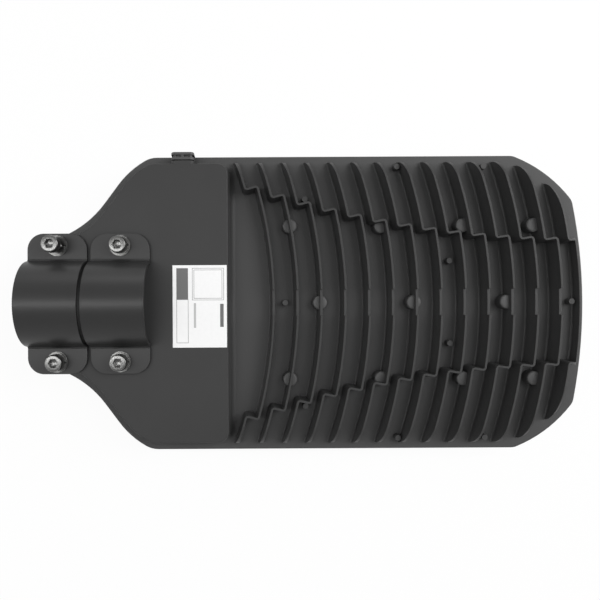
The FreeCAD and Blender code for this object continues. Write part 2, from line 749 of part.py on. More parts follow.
def vent_square(spare, y0, y1):
    """A rounded square bar along Y, as wide as the vent plug's head and a spare margin round it."""
    half = size("vent_head_width") / 2 + spare
    z = -size("vent_depth")
    square = block(VENT_X - half, VENT_X + half, y0, y1, z - half, z + half)
    lengthwise = [edge for edge in square.Edges if edge.BoundBox.YLength > EPS]
    return square.makeFillet(size("vent_corner_round"), lengthwise)


def vent_boss():
    """The square boss on the +Y side wall that the vent plug is screwed into."""
    return vent_square(0, size("half_width") - size("deck_inset") - size("deck_thickness"), VENT_SEAT_Y)


def vent_spot_face():
    """What is cut away above the rim, so that the vent plug's head seats on its boss."""
    bar = vent_square(size("fit_clearance"), VENT_SEAT_Y, size("half_width") + 1)
    return bar.common(block(0, BIG, -BIG, BIG, FLOOR, BIG))


def housing_shape():
    solid = rounded_shell()
    solid = solid.fuse(vent_boss())
    solid = solid.cut(underside_rooms())
    outer = block(0, BIG, -BIG, BIG, BASE, 0)
    add = [cradle().common(prism(outline(0.0), BASE, 0).common(outer)), strap_columns()]
    add += [boss(p, size("big_boss_radius"), size("big_boss_height")) for p in BOARD_SCREWS]
    small = both_sides(RIM_BOSSES + INNER_BOSSES)
    add += [boss(p, size("small_boss_radius"), size("small_boss_height")) for p in small]
    solid = solid.multiFuse(add)
    for fin in fin_field():
        solid = solid.fuse(fin)
    return solid.cut(drilled_holes())


def add_shape(name, shape):
    """A document object whose shape is set by this file's own functions, from the sheet's values."""
    feature = doc.addObject("Part::Feature", name)
    feature.Label = name
    feature.Shape = shape
    PARTS.append(feature)
    return feature


def new_body(name):
    body = doc.addObject("PartDesign::Body", name)
    body.Label = name
    return body


def origin_plane(body, role):
    return next(feature for feature in body.Origin.OriginFeatures if feature.Role == role)


def solid_step(body, kind, name, height, **expressions):
    """One additive or subtractive primitive of a body, on z = height, with its sizes bound to the sheet."""
    feature = body.newObject("PartDesign::" + kind, name)
    feature.AttachmentSupport = [(origin_plane(body, "XY_Plane"), "")]
    feature.MapMode = "FlatFace"
    feature.setExpression("AttachmentOffset.Base.z", height)
    for prop, expression in expressions.items():
        feature.setExpression(prop, expression)
    return feature


def square_step(body, name, height, length, width, tall):
    """An additive box, centred on the body's axis."""
    feature = solid_step(body, "AdditiveBox", name, height, Length=length, Width=width, Height=tall)
    feature.setExpression("AttachmentOffset.Base.x", f"-({length}) / 2")
    feature.setExpression("AttachmentOffset.Base.y", f"-({width}) / 2")
    return feature


def prism_step(body, kind, name, height, flats, length):
    """A hexagonal step, given across its flats."""
    feature = solid_step(body, kind, name, height, Height=length)
    feature.Polygon = 6
    feature.setExpression("Circumradius", f"({flats}) / 2 / cos(30)")
    return feature


def screw_body(name, radius, length, head_radius, head_height, flats, depth):
    """A screw that points down, with the underside of its head in z = 0 and a hexagonal drive in its top."""
    body = new_body(name)
    solid_step(body, "AdditiveCylinder", name + "_shank", f"-({length})", Radius=radius, Height=length)
    solid_step(body, "AdditiveCylinder", name + "_head", "0 mm", Radius=head_radius, Height=head_height)
    prism_step(body, "SubtractivePrism", name + "_drive", f"{head_height} - {depth}", flats, depth)
    return body


def round_edges(body, name, radius, test):
    """A fillet on the edges of the body's last feature for which the test holds."""
    doc.recompute()
    tip = body.Tip
    names = [f"Edge{i}" for i, edge in enumerate(tip.Shape.Edges, 1) if test(edge)]
    fillet = body.newObject("PartDesign::Fillet", name)
    fillet.Base = (tip, names)
    fillet.setExpression("Radius", radius)
    doc.recompute()
    return fillet


def group(name, body, places):
    """Copies of one finished body at several placements, as one node of separate solids."""
    doc.recompute()
    copies = []
    for placement in places:
        copy = body.Shape.copy()
        copy.Placement = placement.multiply(copy.Placement)
        copies.append(copy)
    return add_shape(name, Part.makeCompound(copies))


def upright(x, y, z):
    return Placement(Vector(x, y, z), Rotation())


def turned_over(x, y, z):
    """A placement that points a screw's head down."""
    return Placement(Vector(x, y, z), Rotation(Vector(1, 0, 0), 180))


def profile_sketch(body, name, role, edges):
    """A sketch of the body on one of its origin planes, with the given lines and arcs joined end to end."""
    sketch = body.newObject("Sketcher::SketchObject", name)
    sketch.AttachmentSupport = [(origin_plane(body, role), "")]
    sketch.MapMode = "FlatFace"
    for edge in edges:
        sketch.addGeometry(edge, False)
    return sketch


def strap_profile():
    """The strap's section across the spigot: a half ring with a flat lug on each side."""
    thick = size("strap_thickness")
    bore = STRAP_BORE
    outer = bore + thick
    span = size("strap_half_span")
    root = math.sqrt(outer**2 - thick**2)
    points = [(bore, 0), (span, 0), (span, thick), (root, thick)]
    right = [Part.LineSegment(Vector(*a, 0), Vector(*b, 0)) for a, b in zip(points, points[1:])]
    mirrored_points = [Vector(-p[0], p[1], 0) for p in points]
    left = [Part.LineSegment(a, b) for a, b in zip(mirrored_points, mirrored_points[1:])]
    over = Part.Arc(Vector(root, thick, 0), Vector(0, outer, 0), Vector(-root, thick, 0))
    under = Part.Arc(Vector(bore, 0, 0), Vector(0, bore, 0), Vector(-bore, 0, 0))
    return right + left + [over, under]


def strap(name, start):
    """One bent strap: its profile padded along the spigot, corners and folds rounded, holes drilled."""
    body = new_body(name)
    sketch = profile_sketch(body, name + "_profile", "YZ_Plane", strap_profile())
    pad = body.newObject("PartDesign::Pad", name + "_pad")
    pad.Profile = sketch
    pad.setExpression("Length", "sizes.strap_width")
    width = size("strap_width")
    span = size("strap_half_span")
    thick = size("strap_thickness")
    fold = math.sqrt((STRAP_BORE + thick) ** 2 - thick**2)

    def is_corner(edge):
        b = edge.BoundBox
        upright_edge = b.XLength < EPS and b.YLength < EPS
        return upright_edge and abs(abs(b.YMin) - span) < EPS

    def is_fold(edge):
        b = edge.BoundBox
        along = b.YLength < EPS and b.ZLength < EPS and b.XLength > width / 2
        return along and abs(b.ZMin - thick) < EPS and abs(abs(b.YMin) - fold) < EPS

    round_edges(body, name + "_corners", "sizes.strap_corner_radius", is_corner)
    round_edges(body, name + "_folds", "sizes.strap_fold_round", is_fold)
    for side, sign in (("left", ""), ("right", "-")):
        hole = solid_step(
            body, "SubtractiveCylinder", f"{name}_{side}_hole", "-1 mm", Radius="sizes.strap_hole_radius",
            Height="sizes.strap_thickness + 2",
        )
        hole.setExpression("AttachmentOffset.Base.x", "sizes.strap_width / 2")
        hole.setExpression("AttachmentOffset.Base.y", f"{sign}sizes.strap_screw_y")
    body.Placement.Base = Vector(start, 0, 0)
    PARTS.append(body)


def ring_body(name, radius, thickness, bore):
    body = new_body(name)
    solid_step(body, "AdditiveCylinder", name + "_disc", "0 mm", Radius=radius, Height=thickness)
    solid_step(body, "SubtractiveCylinder", name + "_bore", "0 mm", Radius=bore, Height=thickness)
    return body


def strap_fasteners():
    """Four M8 socket head screws on a spring washer and a flat washer each, the first one standing proud."""
    lug = size("strap_thickness")
    flat = size("flat_washer_thickness")
    washer = ring_body(
        "flat_washer", "sizes.flat_washer_radius", "sizes.flat_washer_thickness", "sizes.washer_bore"
    )
    group("strap_flat_washers", washer, [upright(x, y, lug) for x, y in STRAP_SCREWS])
    spring = ring_body(
        "spring_washer", "sizes.spring_washer_radius", "sizes.spring_washer_thickness", "sizes.washer_bore"
    )
    split = solid_step(
        spring, "SubtractiveBox", "spring_washer_split", "0 mm", Length="sizes.spring_washer_radius + 1",
        Width="sizes.spring_washer_split", Height="sizes.spring_washer_thickness",
    )
    split.setExpression("AttachmentOffset.Base.y", "-sizes.spring_washer_split / 2")
    group("strap_spring_washers", spring, [upright(x, y, lug + flat) for x, y in STRAP_SCREWS])
    screw = screw_body(
        "strap_screw", "sizes.strap_screw_radius", "sizes.strap_screw_length", "sizes.strap_head_radius",
        "sizes.strap_head_height", "sizes.strap_socket_flats", "sizes.strap_socket_depth",
    )
    rim_z = size("strap_head_height")
    rim_r = size("strap_head_radius")

    def is_head_rim(edge):
        b = edge.BoundBox
        return abs(b.ZMin - rim_z) < EPS and b.XLength > 1.9 * rim_r

    round_edges(screw, "strap_screw_rim", "sizes.strap_head_round", is_head_rim)
    lifts = [size("proud_lift")] + [0.0] * (len(STRAP_SCREWS) - 1)
    places = [upright(x, y, WASHER_STACK + lift) for (x, y), lift in zip(STRAP_SCREWS, lifts)]
    group("strap_screws", screw, places)


def vent_plug():
    """The vent plug: square flange and cap with slots between ribs and posts, and a hollow threaded stub."""
    body = new_body("breather_plug")
    waist = "sizes.vent_flange"
    cap = "sizes.vent_flange + sizes.vent_waist"
    width = "sizes.vent_head_width"
    square_step(body, "vent_flange", "0 mm", width, width, "sizes.vent_flange")
    waist_width = "sizes.vent_waist_width"
    square_step(body, "vent_waist", waist, waist_width, waist_width, "sizes.vent_waist")
    rib_length = f"{width} - 2 * sizes.fit_clearance"
    square_step(body, "vent_rib", waist, rib_length, "sizes.vent_rib_width", "sizes.vent_waist")
    square_step(body, "vent_cross_rib", waist, "sizes.vent_rib_width", rib_length, "sizes.vent_waist")
    post_step = solid_step(body, "AdditiveCylinder", "vent_post", waist, Radius="sizes.vent_post_radius",
                           Height="sizes.vent_waist")
    for axis in ("x", "y"):
        post_step.setExpression(f"AttachmentOffset.Base.{axis}", f"{width} / 2 - sizes.vent_corner_round")
    posts = body.newObject("PartDesign::PolarPattern", "vent_posts")
    posts.Originals = [post_step]
    posts.Axis = (next(f for f in body.Origin.OriginFeatures if f.Role == "Z_Axis"), [""])
    posts.Angle = 360.0
    posts.Occurrences = 4
    body.Tip = posts
    square_step(body, "vent_cap", cap, width, width, "sizes.vent_cap")
    solid_step(body, "AdditiveCylinder", "vent_stub", "-sizes.vent_thread_length",
               Radius="sizes.vent_thread_radius",
               Height="sizes.vent_thread_length")
    solid_step(body, "SubtractiveCylinder", "vent_bore", "-sizes.vent_thread_length",
               Radius="sizes.vent_hole_radius", Height="sizes.vent_thread_length + sizes.vent_flange")
    half = size("vent_head_width") / 2
    top = size("vent_flange") + size("vent_waist") + size("vent_cap")

    def is_head_corner(edge):
        b = edge.BoundBox
        upright_edge = b.XLength < EPS and b.YLength < EPS
        return upright_edge and abs(abs(b.XMin) - half) < EPS and abs(abs(b.YMin) - half) < EPS

    round_edges(body, "vent_corners", "sizes.vent_corner_round", is_head_corner)
    round_edges(
        body, "vent_cap_round", "sizes.vent_head_round", lambda edge: abs(edge.BoundBox.ZMin - top) < EPS
    )
    seal_y = VENT_SEAT_Y + size("vent_seal_thickness")
    sideways = Rotation(Vector(1, 0, 0), -90)
    body.Placement = Placement(Vector(VENT_X, seal_y, -size("vent_depth")), sideways)
    PARTS.append(body)
    seal = ring_body("breather_seal", "sizes.vent_seal_radius", "sizes.vent_seal_thickness",
                     "sizes.vent_thread_radius + sizes.thread_clearance")
    seal.Placement = Placement(Vector(VENT_X, VENT_SEAT_Y, -size("vent_depth")), sideways)
    PARTS.append(seal)


def cable_gland():
    """The mains inlet: gland body through the socket's end wall, rubber sleeve, clamping cap and locknut."""
    # Each piece's own z runs towards the mouth, from the face of the wall that the gland's hexagon seats on
    towards_mouth = Placement(
        Vector(GLAND_WALL_X, 0, -size("gland_depth")), Rotation(Vector(0, 1, 0), -90)
    )
    stub = "sizes.end_wall + sizes.gland_nut_thickness + 1"
    cap_length = "sizes.gland_cap_length"
    skirt = f"{cap_length} * sizes.gland_skirt_share"
    inner_r = "sizes.gland_thread_radius - sizes.gland_wall"
    body = new_body("gland_body")
    solid_step(body, "AdditiveCylinder", "gland_stub", f"-({stub})",
               Radius="sizes.gland_thread_radius", Height=stub)
    prism_step(body, "AdditivePrism", "gland_hexagon", "0 mm", "sizes.gland_flats", "sizes.gland_hex")
    solid_step(body, "AdditiveCylinder", "gland_neck", "sizes.gland_hex",
               Radius=inner_r, Height=f"{cap_length} / 2")
    solid_step(body, "SubtractiveCylinder", "gland_bore", f"-({stub})", Radius="sizes.gland_bore",
               Height=f"{stub} + sizes.gland_hex + {cap_length}")
    seal = ring_body(
        "gland_seal", "sizes.gland_bore - sizes.thread_clearance", cap_length, "sizes.gland_cap_bore"
    )
    cap = new_body("gland_cap")
    cap_r = "sizes.gland_flats / 2"
    solid_step(cap, "AdditiveCylinder", "cap_skirt", "sizes.gland_hex", Radius=cap_r, Height=skirt)
    solid_step(cap, "AdditiveCone", "cap_dome", f"sizes.gland_hex + {skirt}", Radius1=cap_r,
               Radius2="sizes.gland_bore + 1.5 * sizes.gland_wall", Height=f"{cap_length} - {skirt}")
    solid_step(cap, "SubtractiveCylinder", "cap_mouth", "sizes.gland_hex", Radius="sizes.gland_bore",
               Height=cap_length)
    solid_step(cap, "SubtractiveCylinder", "cap_thread", "sizes.gland_hex",
               Radius=f"{inner_r} + sizes.thread_clearance",
               Height=f"{cap_length} / 2 + sizes.thread_clearance")
    nut = new_body("gland_locknut")
    prism_step(nut, "AdditivePrism", "nut_hexagon", "-sizes.end_wall - sizes.gland_nut_thickness",
               "sizes.gland_nut_flats", "sizes.gland_nut_thickness")
    solid_step(nut, "SubtractiveCylinder", "nut_thread", "-sizes.end_wall - sizes.gland_nut_thickness",
               Radius="sizes.gland_thread_radius + sizes.thread_clearance",
               Height="sizes.gland_nut_thickness")
    for piece in (body, seal, cap, nut):
        piece.Placement = towards_mouth
        PARTS.append(piece)


def cover_and_gasket():
    """The gear compartment's cover, the gasket between it and the ledge, and its screws."""
    inset = size("cover_lip") + size("fit_clearance")
    x0 = COMPARTMENT_X - size("cover_lip") / 2 + size("fit_clearance")
    x1 = CROSS_WALL_X + size("cover_lip") / 2 - size("fit_clearance")
    places = both_sides(COVER_SCREWS)
    medium = size("medium_screw_radius") + size("hole_clearance")
    top = COVER_FACE + size("cover_thickness")
    plate = prism(outline(inset), COVER_FACE, top).common(block(x0, x1, -BIG, BIG, -BIG, BIG))
    add_shape("driver_cover", plate.cut([post(p, medium, COVER_FACE - 1, top + 1) for p in places]))
    edge = size("gasket_edge")
    between_walls = block(x0 + edge, x1 - edge, -BIG, BIG, -BIG, BIG)
    ring = prism(outline(inset + edge), top, COVER_SEAT).common(between_walls)
    inner = size("cover_lip") + size("cover_ledge") + edge
    gap = prism(outline(inner), top - 1, COVER_SEAT + 1)
    gap = gap.common(block(COMPARTMENT_X + edge, CROSS_WALL_X - edge, -BIG, BIG, -BIG, BIG))
    gap = gap.cut([post(p, size("cover_post_radius"), top - 1, COVER_SEAT + 1) for p in places])
    ring = ring.cut(gap).cut([post(p, medium, top - 1, COVER_SEAT + 1) for p in places])
    add_shape("driver_cover_gasket", ring)
    screw = small_screw("cover_screw", "medium", "sizes.medium_screw_length")
    group("driver_cover_screws", screw, [turned_over(x, y, COVER_FACE) for x, y in places])
    return screw


def small_screw(name, kind, length):
    return screw_body(
        name, f"sizes.{kind}_screw_radius", length, f"sizes.{kind}_head_radius", f"sizes.{kind}_head_height",
        "sizes.drive_flats", "sizes.drive_depth",
    )


def driver_and_terminal(screw):
    """The driver brick with an ear at each end, the terminal block, and the screws for them and the earth."""
    x0, y0, y1 = DRIVER_X, DRIVER_Y, DRIVER_END_Y
    ear = size("driver_ear")
    half_ear = size("driver_ear_width") / 2
    brick = block(x0, x0 + size("driver_width"), y0, y1, DRIVER_FACE, CEILING)
    brick = brick.makeFillet(size("driver_round"), brick.Edges)
    ears = block(DRIVER_MIDDLE_X - half_ear, DRIVER_MIDDLE_X + half_ear, y0 - ear, y1 + ear, DRIVER_FACE,
                 DRIVER_FACE + size("driver_ear_thickness"))
    ears = ears.makeFillet(size("driver_round"), [e for e in ears.Edges if e.BoundBox.ZLength > EPS])
    loose = size("medium_screw_radius") + size("hole_clearance")
    ear_holes = [post(p, loose, DRIVER_FACE - 1, CEILING) for p in DRIVER_POSTS]
    add_shape("led_driver", brick.fuse(ears).cut(ear_holes))
    group("driver_screws", screw, [turned_over(x, y, DRIVER_FACE) for x, y in DRIVER_POSTS])
    group("earth_screw", screw, [turned_over(*EARTH, EARTH_SEAT)])
    tx, ty = TERMINAL_X, size("terminal_y")
    width = size("terminal_width")
    tower = block(tx, tx + width, ty, ty + size("terminal_length"), TERMINAL_FACE, TERMINAL_TOP)
    half_slot = size("terminal_slot") / 2
    slot_end = TERMINAL_FACE + POLE / 4
    cuts = [block(tx - 1, tx + width + 1, y - half_slot, y + half_slot, TERMINAL_FACE - 1, slot_end)
            for _, y in TERMINAL_POSTS]
    cuts += [post(p, size("small_screw_radius") + size("hole_clearance"), TERMINAL_FACE - 1, TERMINAL_TOP + 1)
             for p in TERMINAL_POSTS]
    for i in range(int(size("terminal_poles"))):
        y = ty + (i + 0.5) * POLE
        cuts.append(cylinder(POLE / 4, (tx - 1, y, TERMINAL_TOP - POLE / 2), (1, 0, 0), width / 3))
        cuts += [post((tx + width * share, y), POLE / 5, TERMINAL_FACE - 1, TERMINAL_FACE + POLE / 3)
                 for share in (0.25, 0.75)]
    add_shape("terminal_block", tower.cut(cuts))
    long_screw = small_screw("terminal_screw", "small", "sizes.terminal_screw_length")
    group("terminal_block_screws", long_screw, [turned_over(x, y, TERMINAL_FACE) for x, y in TERMINAL_POSTS])


def lead(points, radius):
    """A round lead through the points: straight runs joined by tangent arcs as large as the runs allow."""
    points = [Vector(*p) for p in points]
    edges = []
    start = points[0]
    for before, corner, after in zip(points, points[1:], points[2:]):
        into = (corner - before).normalize()
        out = (after - corner).normalize()
        turn = into.getAngle(out)
        cut = BEND_SHARE * min((corner - before).Length, (after - corner).Length)
        bend = cut / math.tan(turn / 2)
        first = corner - into * cut
        last = corner + out * cut
        bisector = (out - into).normalize()
        centre = corner + bisector * (bend / math.cos(turn / 2))
        edges.append(Part.LineSegment(start, first).toShape())
        edges.append(Part.Arc(first, centre - bisector * bend, last).toShape())
        start = last
    edges.append(Part.LineSegment(start, points[-1]).toShape())
    ring = Part.Wire(Part.Circle(points[0], points[1] - points[0], radius).toShape())
    return Part.Wire(edges).makePipeShell([ring], True, False)


def inner_leads():
    """The two short leads inside the sealed rooms, and the grommet where one passes the cross wall."""
    ty = size("terminal_y")
    end_y = DRIVER_END_Y
    x = TERMINAL_X + size("terminal_width") / 2
    in_x = DRIVER_X + size("driver_width") * LEAD_IN_SHARE
    z = TERMINAL_TOP - POLE / 2
    bend = (ty - end_y) * LEAD_BEND_SHARE
    route = ((x, ty, z), (x, ty - bend, z), (in_x, end_y + bend, z), (in_x, end_y, z))
    add_shape("driver_input_lead", lead(route, size("input_lead_radius")))
    out_x = DRIVER_X + size("driver_width") * LEAD_OUT_SHARE
    y = size("led_lead_y")
    middle_y = (end_y + y) / 2
    turn_x = (out_x + CROSS_WALL_X) / 2
    route = ((out_x, end_y, LEAD_Z), (out_x, middle_y, LEAD_Z), (turn_x, y, LEAD_Z), (BOARD_START, y, LEAD_Z))
    add_shape("led_lead", lead(route, size("led_lead_radius")))
    grommet_foot = Vector(CROSS_WALL_X - size("grommet_flange"), y, LEAD_Z)
    towards_leds = Placement(grommet_foot, Rotation(Vector(0, 1, 0), 90))
    grommet = new_body("lead_grommet")
    solid_step(grommet, "AdditiveCylinder", "grommet_flange", "0 mm", Radius="sizes.grommet_flange_radius",
               Height="sizes.grommet_flange")
    solid_step(grommet, "AdditiveCylinder", "grommet_sleeve", "sizes.grommet_flange",
               Radius="sizes.grommet_radius",
               Height="sizes.grommet_length")
    solid_step(grommet, "SubtractiveCylinder", "grommet_bore", "0 mm",
               Radius="sizes.led_lead_radius + sizes.thread_clearance",
               Height="sizes.grommet_flange + sizes.grommet_length")
    grommet.Placement = towards_leds
    PARTS.append(grommet)


def led_places():
    columns = places_between(CROSS_WALL_END + size("led_start"), size("led_end_gap"), size("led_pitch_x"))
    middle = (size("led_rows") - 1) / 2
    row_numbers = range(int(size("led_rows")))
    return [(x, (row - middle) * size("led_pitch_y")) for x in columns for row in row_numbers]


def optic():
    """LED board, LEDs, the domed lens plate with a hollow over each LED, its gasket, and their screws."""
    room = size("lens_lip") + size("lens_ledge")
    loose = size("hole_clearance")
    board = prism(outline(room + size("board_edge")), BOARD_FACE, FLOOR_UNDER)
    board = board.common(block(BOARD_START, BIG, -BIG, BIG, -BIG, BIG))
    board_hole_radius = size("medium_screw_radius") + loose
    holes = [post(p, board_hole_radius, BOARD_FACE - 1, FLOOR_UNDER + 1) for p in BOARD_SCREWS]
    holes += [post(p, size("lens_post_radius") + loose, BOARD_FACE - 1, FLOOR_UNDER + 1)
              for p in both_sides(INNER_BOSSES)]
    add_shape("led_board", board.cut(holes))
    half = size("led_size") / 2
    chips = [block(x - half, x + half, y - half, y + half, BOARD_FACE - size("led_height"), BOARD_FACE)
             for x, y in led_places()]
    add_shape("leds", Part.makeCompound(chips))
    inset = size("lens_lip") + size("fit_clearance")
    x0 = CROSS_WALL_END + size("fit_clearance")
    plate = prism(outline(inset), LENS_FACE, LENS_TOP).common(block(x0, BIG, -BIG, BIG, -BIG, BIG))
    corners = [e for e in plate.Edges if e.BoundBox.ZLength > EPS and abs(e.BoundBox.XMin - x0) < EPS]
    corners = [e for e in corners if e.BoundBox.YLength < EPS and e.BoundBox.XLength < EPS]
    plate = plate.makeFillet(size("lens_corner_radius"), corners)
    domes = [cap(p, size("dome_radius"), size("dome_height"), LENS_FACE) for p in led_places()]
    hollows = [cap(p, size("dome_hollow_radius"), size("dome_hollow_height"), LENS_TOP) for p in led_places()]
    small = size("small_screw_radius") + loose
    holes = [post(p, small, LENS_FACE - 1, LENS_TOP + 1) for p in LENS_SCREWS]
    add_shape("lens_plate", plate.multiFuse(domes).cut(hollows + holes))
    edge = size("gasket_edge")
    past_ledge = block(x0 + edge, BIG, -BIG, BIG, -BIG, BIG)
    ring = prism(outline(inset + edge), LENS_TOP, LENS_SEAT).common(past_ledge)
    inner = prism(outline(room - edge), LENS_TOP - 1, LENS_SEAT + 1)
    inner = inner.common(block(CROSS_WALL_END + size("lens_ledge") - edge, BIG, -BIG, BIG, -BIG, BIG))
    ring = ring.cut([inner] + [post(p, small, LENS_TOP - 1, LENS_SEAT + 1) for p in LENS_SCREWS])
    add_shape("lens_gasket", ring)


def cap(place, radius, height, z):
    """A shallow ball cap that hangs below a plane."""
    ball = (radius**2 + height**2) / (2 * height)
    centre = Vector(place[0], place[1], z + ball - height)
    return Part.makeSphere(ball, centre).common(post(place, radius, z - height - 1, z + CAP_BITE))


def optic_screws(screw):
    short = small_screw("lens_screw", "small", "sizes.small_screw_length")
    group("lens_screws", short, [turned_over(x, y, LENS_FACE) for x, y in LENS_SCREWS])
    group("led_board_screws", screw, [turned_over(x, y, BOARD_FACE) for x, y in BOARD_SCREWS])


def label():
    length, width = size("label_length"), size("label_width")
    x, y = DECK_RIGHT - size("label_margin") - length, size("label_y")
    add_shape("rating_label", block(x, x + length, y, y + width, 0.0, size("label_thickness")))


add_shape("housing", housing_shape())
for strap_name, strap_start in zip(("outer_strap", "inner_strap"), STRAP_STARTS):
    strap(strap_name, strap_start)
strap_fasteners()
vent_plug()
cable_gland()
medium_screw = cover_and_gasket()
driver_and_terminal(medium_screw)
inner_leads()
optic()
optic_screws(medium_screw)
label()
doc.recompute()

failed = [o.Name for o in doc.Objects if "Invalid" in o.State or "Error" in o.State]
if failed:
    raise SystemExit(f"these objects failed: {failed}")
os.makedirs("parts", exist_ok=True)
for part in PARTS:
    if part.Shape.isNull() or not part.Shape.isValid() or not part.Shape.Solids:
        raise SystemExit(f"{part.Label} has no valid solid")
    part.Shape.exportStep(f"parts/{part.Label}.step")
    print(part.Label, len(part.Shape.Solids), round(part.Shape.Volume, 1))
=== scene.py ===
"""LED street light head, dressed for its render: finishes, fine fittings, floor, soft light and camera."""
from __future__ import annotations

import logging
import math
from dataclasses import dataclass
from enum import Enum

import bmesh
import bpy
from mathutils import Matrix, Vector


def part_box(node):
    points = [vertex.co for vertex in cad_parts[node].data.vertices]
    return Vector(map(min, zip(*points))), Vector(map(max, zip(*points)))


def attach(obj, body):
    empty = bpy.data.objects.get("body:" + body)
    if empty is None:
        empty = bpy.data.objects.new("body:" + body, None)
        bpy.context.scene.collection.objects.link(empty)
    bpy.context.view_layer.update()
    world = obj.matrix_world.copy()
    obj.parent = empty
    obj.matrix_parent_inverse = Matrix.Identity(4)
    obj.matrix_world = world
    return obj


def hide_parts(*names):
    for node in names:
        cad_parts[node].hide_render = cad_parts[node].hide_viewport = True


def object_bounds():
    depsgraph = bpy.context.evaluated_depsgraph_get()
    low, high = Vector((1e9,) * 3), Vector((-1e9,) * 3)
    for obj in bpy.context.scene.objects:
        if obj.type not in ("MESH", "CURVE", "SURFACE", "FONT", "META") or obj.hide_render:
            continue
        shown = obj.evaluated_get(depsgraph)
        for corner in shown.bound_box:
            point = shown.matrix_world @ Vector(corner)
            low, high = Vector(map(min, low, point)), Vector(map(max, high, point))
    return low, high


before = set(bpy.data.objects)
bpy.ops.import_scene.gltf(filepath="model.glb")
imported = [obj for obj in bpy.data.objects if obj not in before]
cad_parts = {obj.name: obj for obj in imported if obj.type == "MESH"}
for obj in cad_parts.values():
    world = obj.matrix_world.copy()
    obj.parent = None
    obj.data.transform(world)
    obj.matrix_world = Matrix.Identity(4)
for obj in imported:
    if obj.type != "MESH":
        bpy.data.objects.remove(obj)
CAD_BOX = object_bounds()
LOG = logging.getLogger("street_light_head")
MM = 0.001
# Vertices closer than these, in millimetres, are one: at a turned piece's pole, and in loose triangles
POLE_GAP = 0.002
LOOSE_GAP = 0.001
# Steps in a rounded edge's quarter turn, and the height from which surfaces are probed, in millimetres
QUARTER_STEPS = 4
PROBE_FROM = 50.0


def srgb(code: str) -> tuple[float, float, float, float]:
    """Turn an sRGB hex colour into the linear colour that shaders read.

    Args:
        code: Six hex digits, such as "434343".

    Returns:
        Linear red, green, blue and an alpha of 1.
    """
    parts = [int(code[i : i + 2], 16) / 255 for i in (0, 2, 4)]
    linear = [c / 12.92 if c <= 0.04045 else ((c + 0.055) / 1.055) ** 2.4 for c in parts]
    return (linear[0], linear[1], linear[2], 1.0)


def add_node(tree: bpy.types.NodeTree, kind: str, links: dict | None = None, **settings) -> bpy.types.Node:
    """Add one node to a tree, with its settings, socket values and links.

    Args:
        tree: The node tree.
        kind: The node's type name.
        links: Socket name or index to a value, or to the output socket that feeds it.
        **settings: Properties of the node itself.

    Returns:
        The new node.
    """
    made = tree.nodes.new(kind)
    for name, value in settings.items():
        setattr(made, name, value)
    for socket, value in (links or {}).items():
        if isinstance(value, bpy.types.NodeSocket):
            tree.links.new(value, made.inputs[socket])
        else:
            made.inputs[socket].default_value = value
    return made


class Finish:
    """A surface finish that builds one material, once, on first use."""

    name = "finish"

    def material(self) -> bpy.types.Material:
        """Return the finish's material, made on first use."""
        found = bpy.data.materials.get(self.name)
        if found:
            return found
        made = bpy.data.materials.new(self.name)
        made.use_nodes = True
        tree = made.node_tree
        tree.nodes.clear()
        surface = self.surface(tree)
        add_node(tree, "ShaderNodeOutputMaterial", {"Surface": surface})
        return made

    def surface(self, tree: bpy.types.NodeTree) -> bpy.types.NodeSocket:
        """Build the shader in the material's tree and return its output."""
        raise NotImplementedError

    @staticmethod
    def place(
        tree: bpy.types.NodeTree, stretch: tuple[float, float, float] = (1, 1, 1)
    ) -> bpy.types.NodeSocket:
        """Object coordinates, in metres, stretched along each axis.

        Args:
            tree: The material's tree.
            stretch: Factor along X, Y and Z.

        Returns:
            The socket that gives the coordinates.
        """
        spot = add_node(tree, "ShaderNodeTexCoord").outputs["Object"]
        return add_node(tree, "ShaderNodeMapping", {"Vector": spot, "Scale": stretch}).outputs["Vector"]


def per_mm(size_mm: float) -> float:
    """Noise scale, in cells per metre, for a grain of that size in millimetres."""
    return 1.0 / (size_mm * MM)


